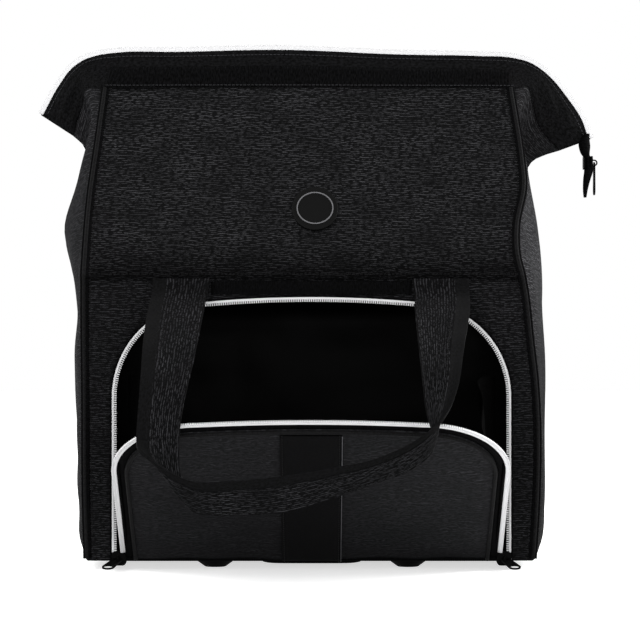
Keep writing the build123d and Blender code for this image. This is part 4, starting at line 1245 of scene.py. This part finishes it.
# bunched end of the mouth's zip tape: a bulb above the slider, and a lobe that hangs below it
tailBulb = {
    "line": [(246.4, 0, 382), (244.7, 0, 376.8), (244.7, 0, 370.6), (245.6, 0, 363.6), (247.7, 0, 359.2),
             (248.8, 0, 356.6)],
    "widths": [3.6, 4.6, 5.3, 4.5, 3.1, 2.2],          # half widths and half depths down the line
    "depths": [3.6, 6.0, 6.4, 5.6, 4.6, 3.6],
}
tailLobe = {
    "line": [(247.0, 0, 366), (247.9, 0, 359), (248.6, 0, 353), (248.1, 0, 347.2), (246.9, 0, 341.8),
             (246.0, 0, 336.3), (245.4, 0, 331), (245.2, 0, 325)],
    "widths": [1.3, 2.6, 3.8, 4.0, 3.5, 2.8, 2.1, 1.3],
    "depths": [5.2, 5.2, 5.4, 5.6, 5.4, 4.8, 4.2, 3.4],
}


def softRoll(name, roll, finish, count=20):
    # ellipses of changing width and depth carried down a line
    spine = curveThrough(roll["line"], 26)
    at = np.linspace(0, 1, 26)
    w, d = (hermite(roll[key], np.linspace(0, 1, len(roll[key])), at) for key in ("widths", "depths"))
    ring = roundBar(1, count)
    grid = np.stack([spine[:, None, 0] + w[:, None] * ring[None, :, 0],
                     spine[:, None, 1] + d[:, None] * ring[None, :, 1],
                     spine[:, None, 2] + 0 * ring[None, :, 0]], -1)
    uv = np.stack(np.meshgrid(np.linspace(0, 30, count + 1), runOf(spine)), -1)
    return gridPiece(name, grid, uv, [finish], around=True, capped=True)


bulb = softRoll("tailFold", tailBulb, tapeCloth)
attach(bulb, "root")
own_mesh(bulb)
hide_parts("tail_fold")
tail = softRoll("tailTape", tailLobe, tapeCloth)
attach(tail, "root")
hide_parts("zip_tail")

# hard fittings keep their own shape and get their real finish
kept = {
    zincBlack: ["left_pocket_slider", "right_pocket_slider", "left_pocket_pull", "right_pocket_pull",
                "mouth_slider", "mouth_pull"],
    springSteel: ["front_frame_wire", "rear_frame_wire", "left_frame_bracket", "right_frame_bracket",
                  "left_frame_rivet", "right_frame_rivet", "foot_rivets"],
    mouldedFoot: ["foot_front_left", "foot_front_right", "foot_rear_left", "foot_rear_right"],
    badgeRubber: ["round_badge"],
    badgePrint: ["badge_ring"],
    stiffBoard: ["base_board"],
}
for finish, names in kept.items():
    for name in names:
        mesh = nodes[name].data
        mesh.materials.clear()
        mesh.materials.append(finish)

slots = {
    "outer_cloth": ["lowerFrontCloth", "upperFrontCloth", "backCloth", "baseCloth", "doorCloth",
                    "frontHandleStrap", "rearHandleStrap", "frontMouthCloth", "rearMouthCloth"],
    "lining": ["frontLiningCloth", "rearLiningCloth", "floorLiningCloth", "pocketLiningCloth",
               "doorLiningCloth", "leftDoorBellows", "rightDoorBellows"],
    "black_tape": ["doorWebbing", "doorZipTape", "doorPiping", "hookStrip", "basePatch", "tailFold",
                   "tailTape", "openingTape", "doorHingeBinding", "frontWireTape", "rearWireTape"],
    "white_zip": ["openingZipEdge", "openingZipCoil", "doorZipEdge", "doorZipCoil", "frontZipEdge",
                  "rearZipEdge", "frontZipCoil", "rearZipCoil"],
}
for slotName, names in slots.items():
    for name in names:
        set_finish(bpy.data.objects[name], slotName)
for piece in list(bpy.data.objects):
    if piece.name.endswith("SideCloth"):
        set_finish(piece, "outer_cloth")
    elif piece.name.endswith("Piping") and "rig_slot" not in piece:
        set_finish(piece, "black_tape")
print("fittings done")

studio = {
    "worldSeen": 1.0,       # white to the eye, and the plain level that lights the bag
    "worldLit": 0.5,
    "floorHalf": 6,         # metres
    "floorGlow": 0.62,      # seen by the eye only
    "aim": (0, 0, 0.25),
    # name, place and size in metres, and watts
    "lamps": [("keySoftbox", (-1.6, -2.6, 2.2), (1.6, 1.6), 60),
              ("lowFrontSoftbox", (0.3, -2.3, 0.3), (1.6, 0.5), 20),
              ("rightSideSoftbox", (2.3, 0.35, 1.3), (1.0, 1.4), 100),
              ("leftSideSoftbox", (-2.3, 0.35, 1.3), (1.0, 1.4), 40),
              ("rearTopSoftbox", (0.3, 1.8, 2.4), (2.0, 1.0), 30)],
}
view = {
    "distance": 2400,       # mm in front of the front panel
    "seenWidth": 550.4,     # mm across the view at that panel
    "x": 7.3,
    "z": 215,
    "sensor": 36,
}


def seenRays(tree):
    # 1 for camera, mirror and glass rays, 0 for the rays that light the bag
    rays = addNode(tree, "ShaderNodeLightPath")
    two = addNode(tree, "ShaderNodeMath", {"operation": "MAXIMUM"},
                  links={0: rays.outputs["Is Camera Ray"], 1: rays.outputs["Is Glossy Ray"]})
    three = addNode(tree, "ShaderNodeMath", {"operation": "MAXIMUM"},
                    links={0: two.outputs[0], 1: rays.outputs["Is Transmission Ray"]})
    return three.outputs[0]


def lightWorld(scene):
    # an even white surround: one strength to look at, another to light with
    world = bpy.data.worlds.new("studioWorld")
    scene.world = world
    world.use_nodes = True
    tree = world.node_tree
    tree.nodes.clear()
    seen, lit = (addNode(tree, "ShaderNodeBackground", values={"Color": (1, 1, 1, 1), "Strength": studio[key]})
                 for key in ("worldSeen", "worldLit"))
    both = addNode(tree, "ShaderNodeMixShader", links={0: seenRays(tree), 1: lit.outputs[0], 2: seen.outputs[0]})
    addNode(tree, "ShaderNodeOutputWorld", links={"Surface": both.outputs[0]})


def layFloor(scene):
    # one square of matt white paper, which keeps the bag's shadow and glows a little to the eye
    s = studio["floorHalf"]
    floorMesh = bpy.data.meshes.new("studioFloor")
    floorMesh.from_pydata([(-s, -s, 0), (s, -s, 0), (s, s, 0), (-s, s, 0)], [], [(0, 1, 2, 3)])
    floor = bpy.data.objects.new("studioFloor", floorMesh)
    scene.collection.objects.link(floor)
    paper, tree, shader = newFinish("whiteStudioPaper", 0.9, 0.1, colour="#e6e6e6")
    level = addNode(tree, "ShaderNodeMath", {"operation": "MULTIPLY"}, {1: studio["floorGlow"]},
                    {0: seenRays(tree)})
    glow = addNode(tree, "ShaderNodeEmission", values={"Color": (1, 1, 1, 1)},
                   links={"Strength": level.outputs[0]})
    add = addNode(tree, "ShaderNodeAddShader", links={0: shader.outputs[0], 1: glow.outputs[0]})
    tree.links.new(add.outputs[0], tree.nodes["Material Output"].inputs["Surface"])
    floorMesh.materials.append(paper)


def hangLamp(scene, name, at, size, power):
    # a rectangular softbox turned towards the middle of the bag
    data = bpy.data.lights.new(name, "AREA")
    data.shape = "RECTANGLE"
    data.size, data.size_y = size
    data.energy = power
    lamp = bpy.data.objects.new(name, data)
    scene.collection.objects.link(lamp)
    lamp.location = at
    lamp.rotation_euler = (Vector(studio["aim"]) - Vector(at)).to_track_quat("-Z", "Y").to_euler()


def setCamera(scene):
    # level and square to the front; the lens is sensor times distance over the width seen
    data = bpy.data.cameras.new("frontCamera")
    camera = bpy.data.objects.new("frontCamera", data)
    scene.collection.objects.link(camera)
    data.lens = view["sensor"] * view["distance"] / view["seenWidth"]
    camera.location = place([view["x"], frontPanel["faceY"] - view["distance"], view["z"]]).tolist()
    camera.rotation_euler = (math.radians(90), 0, 0)
    data.clip_end = 30
    scene.camera = camera


scene = bpy.context.scene
scene.view_settings.view_transform = "Standard"
lightWorld(scene)
layFloor(scene)
for lampRow in studio["lamps"]:
    hangLamp(scene, *lampRow)
setCamera(scene)
print("studio done")
